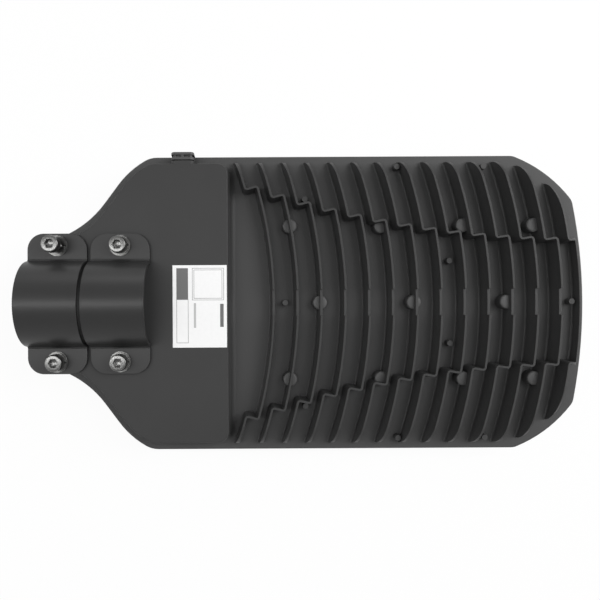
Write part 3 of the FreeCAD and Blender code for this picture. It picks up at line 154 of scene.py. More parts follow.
@dataclass(frozen=True)
class PowderCoat(Finish):
    """Polyester powder coat on a die casting or bent steel: a matte skin with a fine orange peel."""

    name: str = "powder coat on aluminium casting"
    colour: str = "2d2d2d"
    drift: str = "333333"
    # Painted light: a paler colour mixed in lower down, from the first height to the second
    painted_light_colour: str = "424242"
    painted_light_from_mm: float = -2.0
    painted_light_to_mm: float = -14.0
    drift_mm: float = 38.0
    # Painted shade in corners: how much darker, over what reach, and the occlusion range it spans
    corner: float = 0.45
    corner_mm: float = 5.0
    corner_shut: float = 0.35
    corner_open: float = 0.9
    roughness: float = 0.54
    smoother: float = 0.06
    rougher: float = 0.08
    specular: float = 0.32
    peel_mm: float = 1.1
    peel_depth: float = 0.16
    peel_height_mm: float = 0.2
    grain_mm: float = 0.45
    edge_mm: float = 0.45

    def surface(self, tree: bpy.types.NodeTree) -> bpy.types.NodeSocket:
        """A dark grey skin: slow drifts of tone, painted light below the deck, painted shade in tight
        corners, a peel of about a millimetre, and softened edges.
        """
        spot = self.place(tree)
        # Slow drift of tone, as powder builds up unevenly over a casting
        cloud = add_node(
            tree, "ShaderNodeTexNoise", {"Vector": spot, "Scale": per_mm(self.drift_mm), "Detail": 3.0}
        )
        shade = add_node(tree, "ShaderNodeMix", {"Factor": cloud.outputs["Fac"]}, data_type="RGBA")
        shade.inputs[6].default_value = srgb(self.colour)
        shade.inputs[7].default_value = srgb(self.drift)
        # Painted light: below the deck the colour turns paler, standing in for light on the fin floors, fin
        # flanks and rim
        height = add_node(tree, "ShaderNodeSeparateXYZ", {"Vector": spot})
        depth = add_node(
            tree, "ShaderNodeMapRange",
            {"Value": height.outputs["Z"], "From Min": self.painted_light_from_mm * MM,
             "From Max": self.painted_light_to_mm * MM},
        )
        base = add_node(
            tree, "ShaderNodeMix", {0: depth.outputs["Result"], 6: shade.outputs[2], 7: srgb(self.painted_light_colour)},
            data_type="RGBA",
        )
        # Painted shade: the colour is darkened in tight corners and at the feet of fins and bosses, where
        # ambient occlusion finds little open space
        open_share = add_node(
            tree, "ShaderNodeAmbientOcclusion", {"Distance": self.corner_mm * MM}, samples=6
        )
        corner_shade = add_node(
            tree, "ShaderNodeMapRange",
            {"Value": open_share.outputs["AO"], "From Min": self.corner_shut, "From Max": self.corner_open,
             "To Min": 1 - self.corner, "To Max": 1.0},
        )
        coat = add_node(
            tree, "ShaderNodeMix", {0: 1.0, 6: base.outputs[2], 7: corner_shade.outputs["Result"]}, data_type="RGBA",
            blend_type="MULTIPLY",
        )
        # Roughness wanders a little with the grain, so broad highlights break up
        grain = add_node(
            tree, "ShaderNodeTexNoise", {"Vector": spot, "Scale": per_mm(self.grain_mm), "Detail": 2.0}
        )
        rough = add_node(
            tree, "ShaderNodeMapRange",
            {"Value": grain.outputs["Fac"], "To Min": self.roughness - self.smoother,
             "To Max": self.roughness + self.rougher},
        )
        peel = add_node(
            tree, "ShaderNodeTexNoise", {"Vector": spot, "Scale": per_mm(self.peel_mm), "Detail": 1.5}
        )
        both = add_node(
            tree, "ShaderNodeMath", {0: peel.outputs["Fac"], 1: grain.outputs["Fac"]}, operation="ADD"
        )
        # The real edges are rounded by the paint, and each one catches a thin line of light
        edge = add_node(tree, "ShaderNodeBevel", {"Radius": self.edge_mm * MM}, samples=6)
        bump = add_node(
            tree, "ShaderNodeBump",
            {"Height": both.outputs[0], "Strength": self.peel_depth, "Distance": self.peel_height_mm * MM,
             "Normal": edge.outputs["Normal"]},
        )
        skin = add_node(
            tree, "ShaderNodeBsdfPrincipled",
            {"Base Color": coat.outputs[2], "Roughness": rough.outputs["Result"],
             "Normal": bump.outputs["Normal"], "Specular IOR Level": self.specular},
        )
        return skin.outputs["BSDF"]


@dataclass(frozen=True)
class BrightSteel(Finish):
    """Stainless steel, turned or pressed: bright, with fine tool marks."""

    name: str = "stainless steel, turned"
    colour: str = "6b6b6a"
    roughness: float = 0.26
    smoother: float = 0.08
    rougher: float = 0.14
    mark_mm: float = 0.25
    mark_flat: float = 6.0
    mark_depth: float = 0.15
    mark_height_mm: float = 0.05
    edge_mm: float = 0.15

    def surface(self, tree: bpy.types.NodeTree) -> bpy.types.NodeSocket:
        """A bright metal whose roughness follows fine marks round the piece."""
        spot = self.place(tree, (1, 1, self.mark_flat))
        marks = add_node(
            tree, "ShaderNodeTexNoise", {"Vector": spot, "Scale": per_mm(self.mark_mm), "Detail": 2.0}
        )
        rough = add_node(
            tree, "ShaderNodeMapRange",
            {"Value": marks.outputs["Fac"], "To Min": self.roughness - self.smoother,
             "To Max": self.roughness + self.rougher},
        )
        edge = add_node(tree, "ShaderNodeBevel", {"Radius": self.edge_mm * MM}, samples=4)
        bump = add_node(
            tree, "ShaderNodeBump",
            {"Height": marks.outputs["Fac"], "Strength": self.mark_depth,
             "Distance": self.mark_height_mm * MM, "Normal": edge.outputs["Normal"]},
        )
        metal = add_node(
            tree, "ShaderNodeBsdfPrincipled",
            {"Base Color": srgb(self.colour), "Metallic": 1.0, "Roughness": rough.outputs["Result"],
             "Normal": bump.outputs["Normal"]},
        )
        return metal.outputs["BSDF"]


@dataclass(frozen=True)
class Moulded(Finish):
    """Injection-moulded plastic or rubber: one colour, a spark-eroded grain and soft edges."""

    name: str = "moulded nylon"
    colour: str = "3c3c3c"
    drift: str = "373737"
    roughness: float = 0.5
    swing: float = 0.06
    grain_mm: float = 0.6
    depth: float = 0.1
    height_mm: float = 0.1
    specular: float = 0.5
    edge_mm: float = 0.25

    def surface(self, tree: bpy.types.NodeTree) -> bpy.types.NodeSocket:
        """A plain colour with a fine grain in both gloss and relief."""
        spot = self.place(tree)
        grain = add_node(
            tree, "ShaderNodeTexNoise", {"Vector": spot, "Scale": per_mm(self.grain_mm), "Detail": 2.0}
        )
        rough = add_node(
            tree, "ShaderNodeMapRange",
            {"Value": grain.outputs["Fac"], "To Min": self.roughness - self.swing,
             "To Max": self.roughness + self.swing},
        )
        tone = add_node(tree, "ShaderNodeMix", {"Factor": grain.outputs["Fac"]}, data_type="RGBA")
        tone.inputs[6].default_value = srgb(self.colour)
        tone.inputs[7].default_value = srgb(self.drift)
        edge = add_node(tree, "ShaderNodeBevel", {"Radius": self.edge_mm * MM}, samples=4)
        bump = add_node(
            tree, "ShaderNodeBump",
            {"Height": grain.outputs["Fac"], "Strength": self.depth, "Distance": self.height_mm * MM,
             "Normal": edge.outputs["Normal"]},
        )
        skin = add_node(
            tree, "ShaderNodeBsdfPrincipled",
            {"Base Color": tone.outputs[2], "Roughness": rough.outputs["Result"],
             "Normal": bump.outputs["Normal"], "Specular IOR Level": self.specular},
        )
        return skin.outputs["BSDF"]


@dataclass(frozen=True)
class ClearLens(Finish):
    """Clear moulded polycarbonate: see-through, glossy, with a faint cool tint."""

    name: str = "clear polycarbonate"
    colour: str = "f2f6f7"
    roughness: float = 0.04
    ior: float = 1.585
    ripple_mm: float = 12.0
    ripple_depth: float = 0.06
    ripple_height_mm: float = 0.3

    def surface(self, tree: bpy.types.NodeTree) -> bpy.types.NodeSocket:
        """Transmission at polycarbonate's IOR, with a slow ripple from the mould."""
        ripple = add_node(
            tree, "ShaderNodeTexNoise",
            {"Vector": self.place(tree), "Scale": per_mm(self.ripple_mm), "Detail": 1.0},
        )
        bump = add_node(
            tree, "ShaderNodeBump",
            {"Height": ripple.outputs["Fac"], "Strength": self.ripple_depth,
             "Distance": self.ripple_height_mm * MM},
        )
        body = add_node(
            tree, "ShaderNodeBsdfPrincipled",
            {"Base Color": srgb(self.colour), "Roughness": self.roughness, "Transmission Weight": 1.0,
             "IOR": self.ior, "Normal": bump.outputs["Normal"]},
        )
        return body.outputs["BSDF"]


CASTING = PowderCoat()
STRAP_COAT = PowderCoat(
    name="satin powder coat on bent steel", colour="2d2d2d", drift="313131", painted_light_colour="2c2c2c", roughness=0.34,
    specular=0.25, corner=0.12, peel_depth=0.08, grain_mm=0.6,
)
# A paler copy of the coat for the crowns: painted light, standing in for the light the raised crowns catch
# past each fin
PAINTED_LIGHT_CROWN_COAT = PowderCoat(
    name="powder coat on boss crowns, painted paler", colour="3a3a3a", drift="404040", painted_light_colour="575757", corner=0.25,
    roughness=0.46,
)
COVER_COAT = PowderCoat(
    name="powder coat on aluminium sheet", colour="303030", drift="343434", painted_light_colour="333333", roughness=0.5
)
STEEL = BrightSteel()
ZINC = BrightSteel(name="zinc-plated steel", colour="a4a4a1", roughness=0.34)
DRAWN_ALUMINIUM = BrightSteel(name="drawn aluminium", colour="b9bbbd", roughness=0.4, mark_mm=0.5)
VENT_NYLON = Moulded(name="moulded nylon, dark grey", colour="404040", drift="3b3b3b", roughness=0.5)
GLAND_NYLON = Moulded(name="moulded nylon, black", colour="262626", drift="222222", roughness=0.42)
RUBBER = Moulded(name="EPDM rubber, black", colour="1d1d1d", drift="1a1a1a", roughness=0.75, specular=0.3)
SILICONE = Moulded(
    name="silicone rubber, grey", colour="8b8d8e", drift="838586", roughness=0.6, specular=0.35
)
SHEATH = Moulded(name="PVC lead sheath", colour="2e2e2e", drift="2a2a2a", roughness=0.5)
TERMINAL_NYLON = Moulded(name="moulded nylon, natural", colour="deddd6", drift="d6d5cd", roughness=0.45)
SOLDER_MASK = Moulded(
    name="white solder mask", colour="e6e6e2", drift="dfe0db", roughness=0.3, grain_mm=1.6, depth=0.04
)
TRACK_MASK = Moulded(
    name="white solder mask over copper", colour="d3d6cf", drift="cdd0c8", roughness=0.3, grain_mm=1.6,
    depth=0.04,
)
PACKAGE = Moulded(name="white epoxy package", colour="e9e8e2", drift="e2e1da", roughness=0.4)
PHOSPHOR = Moulded(name="yellow phosphor gel", colour="d8b23a", drift="cfa833", roughness=0.25, depth=0.03)
FILM = Moulded(
    name="white polyester film", colour="f2f2f2", drift="ececec", roughness=0.32, grain_mm=2.4, depth=0.03
)
INK = Moulded(
    name="dark grey thermal print", colour="666666", drift="606060", roughness=0.5, depth=0.02, edge_mm=0.01
)
LINE_INK = Moulded(
    name="grey thermal print, fine lines", colour="858585", drift="7d7d7d", roughness=0.5, depth=0.02,
    edge_mm=0.01,
)
PALE_INK = Moulded(
    name="pale grey thermal print", colour="bdbdbd", drift="b5b5b5", roughness=0.5, depth=0.02, edge_mm=0.01
)
LENS = ClearLens()


def dress(node: str, finish: Finish) -> None:
    """Give one CAD node its finish.

    Args:
        node: The node's name.
        finish: The finish for all its material slots.
    """
    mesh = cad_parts[node].data
    mesh.materials.clear()
    mesh.materials.append(finish.material())
    LOG.info("dressed %s in %s", node, finish.name)


class Shading(Enum):
    """How a piece's faces are shaded: smooth with sharp edges kept by their angle, or flat."""

    SMOOTH = "smooth"
    FLAT = "flat"


def finished(
    name: str, mesh: bmesh.types.BMesh, finish: Finish, shading: Shading = Shading.SMOOTH,
) -> bpy.types.Object:
    """Make an object at the origin from a bmesh, dress it and ride it on the part.

    Args:
        name: The piece's name.
        mesh: The geometry, in the row frame, in metres. It is freed.
        finish: The finish.
        shading: How its faces are shaded.

    Returns:
        The new object.
    """
    data = bpy.data.meshes.new(name)
    mesh.to_mesh(data)
    mesh.free()
    if shading is Shading.SMOOTH:
        data.shade_smooth()
        data.set_sharp_from_angle(angle=math.radians(35))
    data.materials.append(finish.material())
    piece = bpy.data.objects.new(name, data)
    bpy.context.scene.collection.objects.link(piece)
    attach(piece, "root")
    LOG.info("built %s with %d faces", name, len(data.polygons))
    return piece


def turned(
    mesh: bmesh.types.BMesh, centre: tuple[float, float], profile: list[tuple[float, float]], steps: int,
    lead: float = 0.0, turns: int = 1,
) -> list[bmesh.types.BMVert]:
    """Spin a profile about a vertical axis, or wind it into a screw thread.

    Args:
        mesh: Where the faces go.
        centre: The axis, as x and y in millimetres.
        profile: Points as radius and height, in millimetres.
        steps: Steps in one turn.
        lead: Rise of one turn in millimetres, or 0 for a closed round shape.
        turns: How many turns.

    Returns:
        The new vertices.
    """
    before = set(mesh.verts)
    points = [mesh.verts.new(((centre[0] + radius) * MM, centre[1] * MM, z * MM)) for radius, z in profile]
    edges = [mesh.edges.new(pair) for pair in zip(points, points[1:])]
    bmesh.ops.spin(
        mesh, geom=points + edges, cent=(centre[0] * MM, centre[1] * MM, 0), axis=(0, 0, 1),
        dvec=(0, 0, lead * MM / steps), angle=2 * math.pi * turns, steps=steps * turns, use_merge=not lead,
    )
    made = [v for v in mesh.verts if v not in before]
    bmesh.ops.remove_doubles(mesh, verts=made, dist=POLE_GAP * MM)
    return [v for v in mesh.verts if v not in before]


def quarter_round(radius: float, top: float, curve: float) -> list[tuple[float, float]]:
    """Work out a turned piece's rounded upper edge, from its side up to its top.

    Args:
        radius: The piece's radius, in millimetres.
        top: Height of its top, in millimetres.
        curve: Radius of the rounding, in millimetres.

    Returns:
        Profile points as radius and height, in millimetres.
    """
    turns = [math.pi / 2 * i / QUARTER_STEPS for i in range(QUARTER_STEPS + 1)]
    return [(radius - curve * (1 - math.cos(turn)), top - curve * (1 - math.sin(turn))) for turn in turns]


def bar(mesh: bmesh.types.BMesh, low: tuple, high: tuple) -> None:
    """Add a box between two corners.

    Args:
        mesh: Where the faces go.
        low: The lowest corner, in millimetres.
        high: The highest corner, in millimetres.
    """
    size = [b - a for a, b in zip(low, high)]
    middle = [(a + b) / 2 * MM for a, b in zip(low, high)]
    place = Matrix.Translation(middle) @ Matrix.Diagonal([s * MM for s in size] + [1.0])
    bmesh.ops.create_cube(mesh, size=1.0, matrix=place)


def in_mm(node: str) -> tuple[Vector, Vector]:
    """Give a node's lowest and highest corners, in millimetres."""
    low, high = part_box(node)
    return Vector(low) / MM, Vector(high) / MM


def solids_of(node: str) -> list[tuple[Vector, Vector]]:
    """Find the separate solids of a node that groups identical pieces.

    Args:
        node: The node's name.

    Returns:
        Each solid's lowest and highest corner, in millimetres.
    """
    mesh = bmesh.new()
    mesh.from_mesh(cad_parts[node].data)
    bmesh.ops.remove_doubles(mesh, verts=mesh.verts, dist=LOOSE_GAP * MM)
    waiting, boxes = set(mesh.verts), []
    while waiting:
        front, seen = [waiting.pop()], []
        while front:
            vert = front.pop()
            seen.append(vert.co / MM)
            near = {edge.other_vert(vert) for edge in vert.link_edges} & waiting
            waiting -= near
            front += near
        low = Vector(min(p[i] for p in seen) for i in range(3))
        high = Vector(max(p[i] for p in seen) for i in range(3))
        boxes.append((low, high))
    mesh.free()
    return sorted(boxes, key=lambda box: (round(box[0].x, 3), round(box[0].y, 3)))


def surface_height(node: str, x: float, y: float) -> float:
    """Probe a node's upper surface from above.

    Args:
        node: The node's name.
        x: The place's x, in millimetres.
        y: The place's y, in millimetres.

    Returns:
        The surface's height in millimetres, or infinity where there is none.
    """
    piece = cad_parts[node]
    hit, spot, _, _ = piece.ray_cast(Vector((x, y, PROBE_FROM)) * MM, Vector((0, 0, -1)))
    return spot.z / MM if hit else math.inf


@dataclass(frozen=True)
class Casting:
    """The finned die casting and the cover that closes its gear compartment; sizes in millimetres."""

    crown_radius: float = 5.6
    crown_round: float = 1.4
    crown_rise: float = 0.9
    crown_swell: float = 0.1
    crown_sides: int = 40
    probe: float = 4.0

    def build(self) -> None:
        """Dress the casting, its cover and their seals, and crown the bosses over the board's screws."""
        dress("housing", CASTING)
        dress("driver_cover", COVER_COAT)
        dress("driver_cover_gasket", SILICONE)
        dress("driver_cover_screws", STEEL)
        self.crowns()

    def crowns(self) -> None:
        """Well-rounded crowns on the big bosses, which catch the light past each fin."""
        r, curve = self.crown_radius, self.crown_round
        mesh = bmesh.new()
        for low, high in solids_of("led_board_screws"):
            x, y = (low.x + high.x) / 2, (low.y + high.y) / 2
            # A fin runs over each boss, so the boss's own top is the lowest of four places round its middle
            around = ((self.probe, 0), (-self.probe, 0), (0, self.probe), (0, -self.probe))
            boss_top = min(surface_height("housing", x + dx, y + dy) for dx, dy in around)
            foot, top = boss_top - curve, boss_top + self.crown_rise
            side = [(0.0, foot), (r, foot)] + quarter_round(r, top, curve) + [(0.0, top + self.crown_swell)]
            turned(mesh, (x, y), side, self.crown_sides)
        bmesh.ops.recalc_face_normals(mesh, faces=mesh.faces)
        # The crowns wear the paler coat, which is painted light
        finished("boss_crowns", mesh, PAINTED_LIGHT_CROWN_COAT)


@dataclass(frozen=True)
class StrapScrew:
    """An M8 socket head cap screw, in millimetres."""

    shank_radius: float = 4.0
    length: float = 25.0
    head_radius: float = 6.5
    head_height: float = 8.0
    flats: float = 6.0
    socket_depth: float = 4.6
    socket_mouth: float = 0.35
    drill_depth: float = 1.0
    pitch: float = 1.25
    thread_depth: float = 0.68
    ridge_foot: float = 0.1
    ridge_crest: float = 0.45
    point: float = 0.5
    rooted: float = 0.3
    sink: float = 0.1
    foot_bevel: float = 0.4
    knurl_depth: float = 0.3
    knurl_inset: float = 0.15
    knurl_low: float = 0.5
    knurl_high: float = 0.3
    sides: int = 72
    thread_sides: int = 32
    crown_round: float = 0.9
    near: float = 0.01

    def head(self, mesh: bmesh.types.BMesh, centre: tuple[float, float], seat: float) -> None:
        """Add the head: turned in one piece with its socket, then knurled and broached.

        Args:
            mesh: Where the faces go.
            centre: The screw's axis, as x and y in millimetres.
            seat: Height of the head's underside, in millimetres.
        """
        r, top, curve = self.head_radius, seat + self.head_height, self.crown_round
        floor = top - self.socket_depth
        corner = self.flats / 2 / math.cos(math.pi / 6)
        mouth = corner + self.socket_mouth
        side = [(0.0, seat), (r - self.foot_bevel, seat), (r, seat + self.foot_bevel)]
        side += [(r, seat + self.knurl_low), (r, top - curve - self.knurl_high)]
        side += quarter_round(r - self.knurl_inset, top, curve)
        side += [(mouth, top), (corner, top - self.socket_mouth)]
        side += [(corner, floor), (0.0, floor - self.drill_depth)]
        axis = Vector((centre[0] * MM, centre[1] * MM, 0))
        pressed, broached = [], []
        for vert in turned(mesh, centre, side, self.sides):
            arm = vert.co - axis
            reach = math.hypot(arm.x, arm.y) / MM
            step = round(math.atan2(arm.y, arm.x) / (2 * math.pi / self.sides))
            if step % 2 and reach > r - self.near:
                pressed.append(vert)
            elif reach < mouth + self.near and arm.z > (floor - self.near) * MM:
                broached.append(vert)
        # Straight knurling: every second line of the side is pressed in
        shrink = 1 - self.knurl_depth / r
        bmesh.ops.scale(mesh, vec=(shrink, shrink, 1), verts=pressed, space=Matrix.Translation(-axis))
        # The socket's round rings are drawn in to a hexagon, whose corners stay where they are
        for vert in broached:
            arm = vert.co - axis
            turn = math.atan2(arm.y, arm.x) % (math.pi / 3) - math.pi / 6
            share = math.cos(math.pi / 6) / math.cos(turn)
            vert.co.x, vert.co.y = axis.x + share * arm.x, axis.y + share * arm.y

    def thread(self, mesh: bmesh.types.BMesh, centre: tuple[float, float], seat: float) -> None:
        """Add the threaded shank: a core with a chamfered point, and one ridge that winds round it.

        Args:
            mesh: Where the faces go.
            centre: The screw's axis, as x and y in millimetres.
            seat: Height of the head's underside, in millimetres.
        """
        root, crest, p = self.shank_radius - self.thread_depth, self.shank_radius, self.pitch
        tip = seat - self.length
        neck = seat + self.rooted
        core = [(0.0, tip), (root - self.point, tip), (root, tip + self.point), (root, neck), (0.0, neck)]
        turned(mesh, centre, core, self.thread_sides)
        # The ridge is a closed section, sunk a little into the core, and its two ends are filled
        sunk = root - self.sink
        foot, edge = self.ridge_foot * p, self.ridge_crest * p
        ridge = [(sunk, tip + foot), (crest, tip + edge), (crest, tip + p - edge), (sunk, tip + p - foot)]
        made = turned(mesh, centre, ridge + ridge[:1], self.thread_sides, lead=p, turns=int(self.length / p))
        rims = {rim for vert in made for rim in vert.link_edges if rim.is_boundary}
        bmesh.ops.holes_fill(mesh, edges=list(rims), sides=len(ridge))


class SpigotClamp:
    """The two straps with their screws and washers."""

    screw = StrapScrew()

    def build(self) -> None:
        """Dress the straps and washers, and replace the plain screws by knurled and threaded ones."""
        for node in ("outer_strap", "inner_strap"):
            dress(node, STRAP_COAT)
        for node in ("strap_spring_washers", "strap_flat_washers"):
            dress(node, STEEL)
        for low, high in solids_of("strap_screws"):
            centre = ((low.x + high.x) / 2, (low.y + high.y) / 2)
            seat = high.z - self.screw.head_height
            strap = "outer" if centre[0] < in_mm("outer_strap")[1].x else "inner"
            side = "left" if centre[1] > 0 else "right"
            mesh = bmesh.new()
            self.screw.head(mesh, centre, seat)
            self.screw.thread(mesh, centre, seat)
            bmesh.ops.recalc_face_normals(mesh, faces=mesh.faces)
            piece = finished(f"{strap}_strap_screw_{side}", mesh, STEEL)
            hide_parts("strap_screws")


@dataclass(frozen=True)
class Label:
    """The rating label's plain printed fields, in shares of the label's length (x) and width (y)."""

    line_mm: float = 0.34
    ink_mm: float = 0.03
    block: tuple = (0.07, 0.585, 0.285, 0.965)
    frames: tuple = ((0.07, 0.055, 0.29, 0.585), (0.36, 0.575, 0.945, 0.965), (0.39, 0.595, 0.915, 0.945))
    dark_bar: tuple = (0.875, 0.25, 0.94, 0.53)
    pale_bar: tuple = (0.39, 0.24, 0.43, 0.54)

    def build(self) -> None:
        """Lay the print on the film: one solid block, thin frames and two bars."""
        self.field("label_block", [self.block, self.dark_bar], INK)
        edges = []
        low, high = in_mm("rating_label")
        wide, tall = self.line_mm / (high.x - low.x), self.line_mm / (high.y - low.y)
        for x0, y0, x1, y1 in self.frames:
            edges += [(x0, y0, x1, y0 + tall), (x0, y1 - tall, x1, y1)]
            edges += [(x0, y0 + tall, x0 + wide, y1 - tall), (x1 - wide, y0 + tall, x1, y1 - tall)]
        self.field("label_frames", edges, LINE_INK)
        self.field("label_bar", [self.pale_bar], PALE_INK)

    def field(self, name: str, shares: list, finish: Finish) -> None:
        """Add printed rectangles as one piece.

        Args:
            name: The piece's name.
            shares: Rectangles as low x, low y, high x and high y shares of the label.
            finish: The ink.
        """
        low, high = in_mm("rating_label")
        size = high - low
        mesh = bmesh.new()
        for x0, y0, x1, y1 in shares:
            bar(mesh, (low.x + x0 * size.x, low.y + y0 * size.y, high.z),
                (low.x + x1 * size.x, low.y + y1 * size.y, high.z + self.ink_mm))
        finished(name, mesh, finish, Shading.FLAT)


class Fittings:
    """Vent plug, cable gland and the gear inside the compartment."""

    FINISHES = {
        "breather_plug": VENT_NYLON,
        "breather_seal": RUBBER,
        "gland_body": GLAND_NYLON,
        "gland_cap": GLAND_NYLON,
        "gland_locknut": GLAND_NYLON,
        "gland_seal": RUBBER,
        "led_driver": DRAWN_ALUMINIUM,
        "driver_screws": ZINC,
        "earth_screw": ZINC,
        "terminal_block": TERMINAL_NYLON,
        "terminal_block_screws": ZINC,
        "driver_input_lead": SHEATH,
        "led_lead": SHEATH,
        "lead_grommet": RUBBER,
        "rating_label": FILM,
    }

    def build(self) -> None:
        """Dress each fitting."""
        for node, finish in self.FINISHES.items():
            dress(node, finish)


@dataclass(frozen=True)
class LightEngine:
    """Board, LEDs, optic and their screws; sizes in millimetres."""

    rim: float = 0.55
    well: float = 0.18
    gel_sides: int = 24
    gel_taper: float = 0.9
    gel_share: float = 0.8
    gel_middle: float = 0.6
    track: float = 1.6
    track_depth: float = 0.05

    def build(self) -> None:
        """Dress the optical side, and replace the plain chips by packages with a well of phosphor."""
        dress("led_board", SOLDER_MASK)
        dress("lens_plate", LENS)
        dress("lens_gasket", SILICONE)
        dress("lens_screws", STEEL)
        dress("led_board_screws", ZINC)
        chips = solids_of("leds")
        self.packages(chips)
        self.phosphor(chips)
        self.tracks(chips)

    def packages(self, chips: list[tuple[Vector, Vector]]) -> None:
        """White packages, each with a well sunk into the face that shines."""
        mesh = bmesh.new()
        for low, high in chips:
            bar(mesh, low, high)
        mesh.normal_update()
        wells = [f for f in mesh.faces if f.normal.z < -0.5]
        bmesh.ops.inset_individual(mesh, faces=wells, thickness=self.rim * MM)
        bmesh.ops.translate(mesh, verts=[v for f in wells for v in f.verts], vec=(0, 0, self.well * MM))
        pieces = finished("led_packages", mesh, PACKAGE, Shading.FLAT)
        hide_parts("leds")

    def phosphor(self, chips: list[tuple[Vector, Vector]]) -> None:
        """The yellow gel that fills each well, a little below its rim."""
        mesh = bmesh.new()
        for low, high in chips:
            radius = (high.x - low.x) / 2 - self.rim
            middle = low.z + self.gel_middle * self.well
            centre = ((low.x + high.x) / 2 * MM, (low.y + high.y) / 2 * MM, middle * MM)
            bmesh.ops.create_cone(
                mesh, cap_ends=True, segments=self.gel_sides, radius1=self.gel_taper * radius * MM,
                radius2=radius * MM, depth=self.gel_share * self.well * MM,
                matrix=Matrix.Translation(centre),
            )
        finished("led_phosphor", mesh, PHOSPHOR)

    def tracks(self, chips: list[tuple[Vector, Vector]]) -> None:
        """Copper tracks that show as low ridges under the solder mask, from LED to LED along each row."""
        face = in_mm("led_board")[0].z
        mesh = bmesh.new()
        rows = {}
        for low, high in chips:
            rows.setdefault(round((low.y + high.y) / 2, 2), []).append((low.x, high.x))
        for y, row in rows.items():
            row.sort()
            for (_, start), (end, _) in zip(row, row[1:]):
                for side in (-1, 1):
                    middle = y + side * self.track
                    bar(mesh, (start, middle - self.track / 2, face - self.track_depth),
                        (end, middle + self.track / 2, face))
        finished("board_tracks", mesh, TRACK_MASK, Shading.FLAT)


@dataclass(frozen=True)
class Lamp:
    """A rectangular soft lamp: its place, what it faces and its size, in metres, and its power in watts."""

    name: str
    spot: tuple[float, float, float]
    target: tuple[float, float, float]
    size: tuple[float, float]
    power: float

    def hang(self) -> None:
        """Hang the lamp and aim it."""
        data = bpy.data.lights.new(self.name, "AREA")
        data.shape = "RECTANGLE"
        data.size, data.size_y = self.size
        data.energy = self.power
        lamp = bpy.data.objects.new(self.name, data)
        aim = Vector(self.target) - Vector(self.spot)
        lamp.rotation_euler = aim.to_track_quat("-Z", "Y").to_euler()
        lamp.location = self.spot
        bpy.context.scene.collection.objects.link(lamp)


LAMPS = (
    # A long strip whose reflection runs along the crown of the straps
    Lamp("strip", spot=(-0.4, 0.0, 1.3), target=(-0.4, 0.0, 0.0), size=(1.0, 0.16), power=6.0),
    # The main light hangs beyond the far end: each fin shades the floor on its near side
    Lamp("far_box", spot=(1.05, 0.35, 1.15), target=(0.25, 0.0, 0.0), size=(0.8, 0.9), power=11.4),
    # Two low lamps: one draws a line of light on every far edge, one opens the fins' dark near faces
    Lamp("edge_light", spot=(1.5, 0.25, 0.45), target=(0.25, 0.0, 0.0), size=(0.5, 0.4), power=5.5),
    Lamp("near_fill", spot=(-0.9, 0.1, 0.7), target=(0.3, 0.0, 0.0), size=(0.8, 0.8), power=3.0),
    # A weak lamp on the vent plug's side, which opens the straps' folds there
    Lamp("side_fill", spot=(0.0, 1.2, 0.5), target=(0.05, 0.0, 0.0), size=(0.7, 0.4), power=1.8),
)


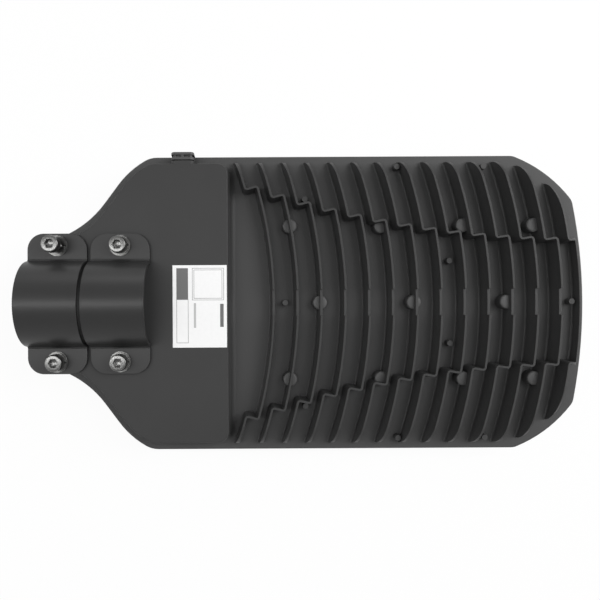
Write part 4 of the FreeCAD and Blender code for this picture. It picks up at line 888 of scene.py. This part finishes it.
@dataclass(frozen=True)
class Studio:
    """A pale floor, soft lamps of which the far one is the strongest, and the camera straight above."""

    # The photograph is taken straight down; these give its framing, in metres and image widths
    camera_x: float = 162.7 * MM
    camera_y: float = 0.0
    camera_z: float = 433.5 * MM
    focal_px: float = 562.3
    image_px: float = 600.0
    axis_px: tuple[float, float] = (240.0, 303.0)
    roll_deg: float = -0.29
    sensor_mm: float = 36.0
    # The floor's size and middle, in metres, how far it lies below the head, and how white it is seen
    floor_size: float = 6.0
    floor_x: float = 0.2
    floor_gap: float = 0.2 * MM
    floor_colour: str = "f4f4f4"
    floor_glow: float = 0.93
    # The surround's strength as light, and what mirrors see of it from the horizon up to overhead
    white: str = "ffffff"
    ambient: float = 0.25
    ceiling: float = 0.25
    ceiling_from: float = 0.25
    ceiling_to: float = 0.85

    def build(self) -> None:
        """Make the floor, the lamps, the world and the camera."""
        self.floor()
        self.world()
        for lamp in LAMPS:
            lamp.hang()
        self.camera()
        bpy.context.scene.view_settings.view_transform = "Standard"

    def backdrop_share(
        self, tree: bpy.types.NodeTree, overhead: bpy.types.NodeSocket | float = 1.0
    ) -> bpy.types.NodeSocket:
        """Say how much of the white background a ray sees: the camera, mirrors and the clear lens see it.

        Args:
            tree: The material's or the world's tree.
            overhead: What a mirror sees of it, from 0 to 1.

        Returns:
            The share, from 0 to 1.
        """
        rays = add_node(tree, "ShaderNodeLightPath")
        mirrored = add_node(
            tree, "ShaderNodeMath", {0: rays.outputs["Is Glossy Ray"], 1: overhead}, operation="MULTIPLY"
        )
        seen = add_node(
            tree, "ShaderNodeMath", {0: rays.outputs["Is Camera Ray"], 1: mirrored.outputs[0]},
            operation="MAXIMUM",
        )
        through = add_node(
            tree, "ShaderNodeMath", {0: seen.outputs[0], 1: rays.outputs["Is Transmission Ray"]},
            operation="MAXIMUM",
        )
        return through.outputs[0]

    def floor(self) -> None:
        """A white floor under the head, which shows white to the camera and keeps a soft shadow."""
        mesh = bmesh.new()
        bmesh.ops.create_grid(mesh, x_segments=1, y_segments=1, size=self.floor_size / 2)
        lowest = CAD_BOX[0][2]
        bmesh.ops.translate(mesh, verts=mesh.verts, vec=(self.floor_x, 0.0, lowest - self.floor_gap))
        data = bpy.data.meshes.new("floor")
        mesh.to_mesh(data)
        mesh.free()
        made = bpy.data.materials.new("white studio floor")
        made.use_nodes = True
        tree = made.node_tree
        tree.nodes.clear()
        matte = add_node(tree, "ShaderNodeBsdfDiffuse", {"Color": srgb(self.floor_colour)})
        glow = add_node(tree, "ShaderNodeEmission", {"Color": srgb(self.white), "Strength": 1.0})
        share = add_node(
            tree, "ShaderNodeMath", {0: self.backdrop_share(tree), 1: self.floor_glow}, operation="MULTIPLY"
        )
        mixed = add_node(
            tree, "ShaderNodeMixShader", {0: share.outputs[0], 1: matte.outputs[0], 2: glow.outputs[0]}
        )
        add_node(tree, "ShaderNodeOutputMaterial", {"Surface": mixed.outputs[0]})
        data.materials.append(made)
        floor = bpy.data.objects.new("floor", data)
        bpy.context.scene.collection.objects.link(floor)

    def world(self) -> None:
        """A dim white surround for the light, and plain white where it is seen."""
        world = bpy.data.worlds.new("white surround")
        world.use_nodes = True
        tree = world.node_tree
        tree.nodes.clear()
        # Mirrors see the white surround near the horizon, and a studio's dimmer ceiling overhead
        sight = add_node(tree, "ShaderNodeTexCoord").outputs["Generated"]
        height = add_node(tree, "ShaderNodeSeparateXYZ", {"Vector": sight})
        ceiling = add_node(
            tree, "ShaderNodeMapRange",
            {"Value": height.outputs["Z"], "From Min": self.ceiling_from, "From Max": self.ceiling_to,
             "To Min": 1.0, "To Max": self.ceiling},
        )
        share = self.backdrop_share(tree, ceiling.outputs["Result"])
        seen = add_node(tree, "ShaderNodeMapRange", {"Value": share, "To Min": self.ambient, "To Max": 1.0})
        sky = add_node(
            tree, "ShaderNodeBackground", {"Color": srgb(self.white), "Strength": seen.outputs["Result"]}
        )
        add_node(tree, "ShaderNodeOutputWorld", {"Surface": sky.outputs[0]})
        bpy.context.scene.world = world

    def camera(self) -> None:
        """A camera straight above, shifted so that the head sits in the frame as in the photograph."""
        data = bpy.data.cameras.new("camera")
        data.sensor_width = self.sensor_mm
        data.lens = self.sensor_mm * self.focal_px / self.image_px
        data.shift_x = (self.image_px / 2 - self.axis_px[0]) / self.image_px
        data.shift_y = (self.axis_px[1] - self.image_px / 2) / self.image_px
        camera = bpy.data.objects.new("camera", data)
        camera.location = (self.camera_x, self.camera_y, self.camera_z)
        camera.rotation_euler = (0.0, 0.0, math.radians(self.roll_deg))
        bpy.context.scene.collection.objects.link(camera)
        bpy.context.scene.camera = camera


def main() -> None:
    """Build each sub-assembly and the studio."""
    logging.basicConfig(level=logging.INFO, format="%(message)s")
    for part in (Casting(), SpigotClamp(), Fittings(), Label(), LightEngine(), Studio()):
        part.build()


if __name__ == "__main__":
    main()
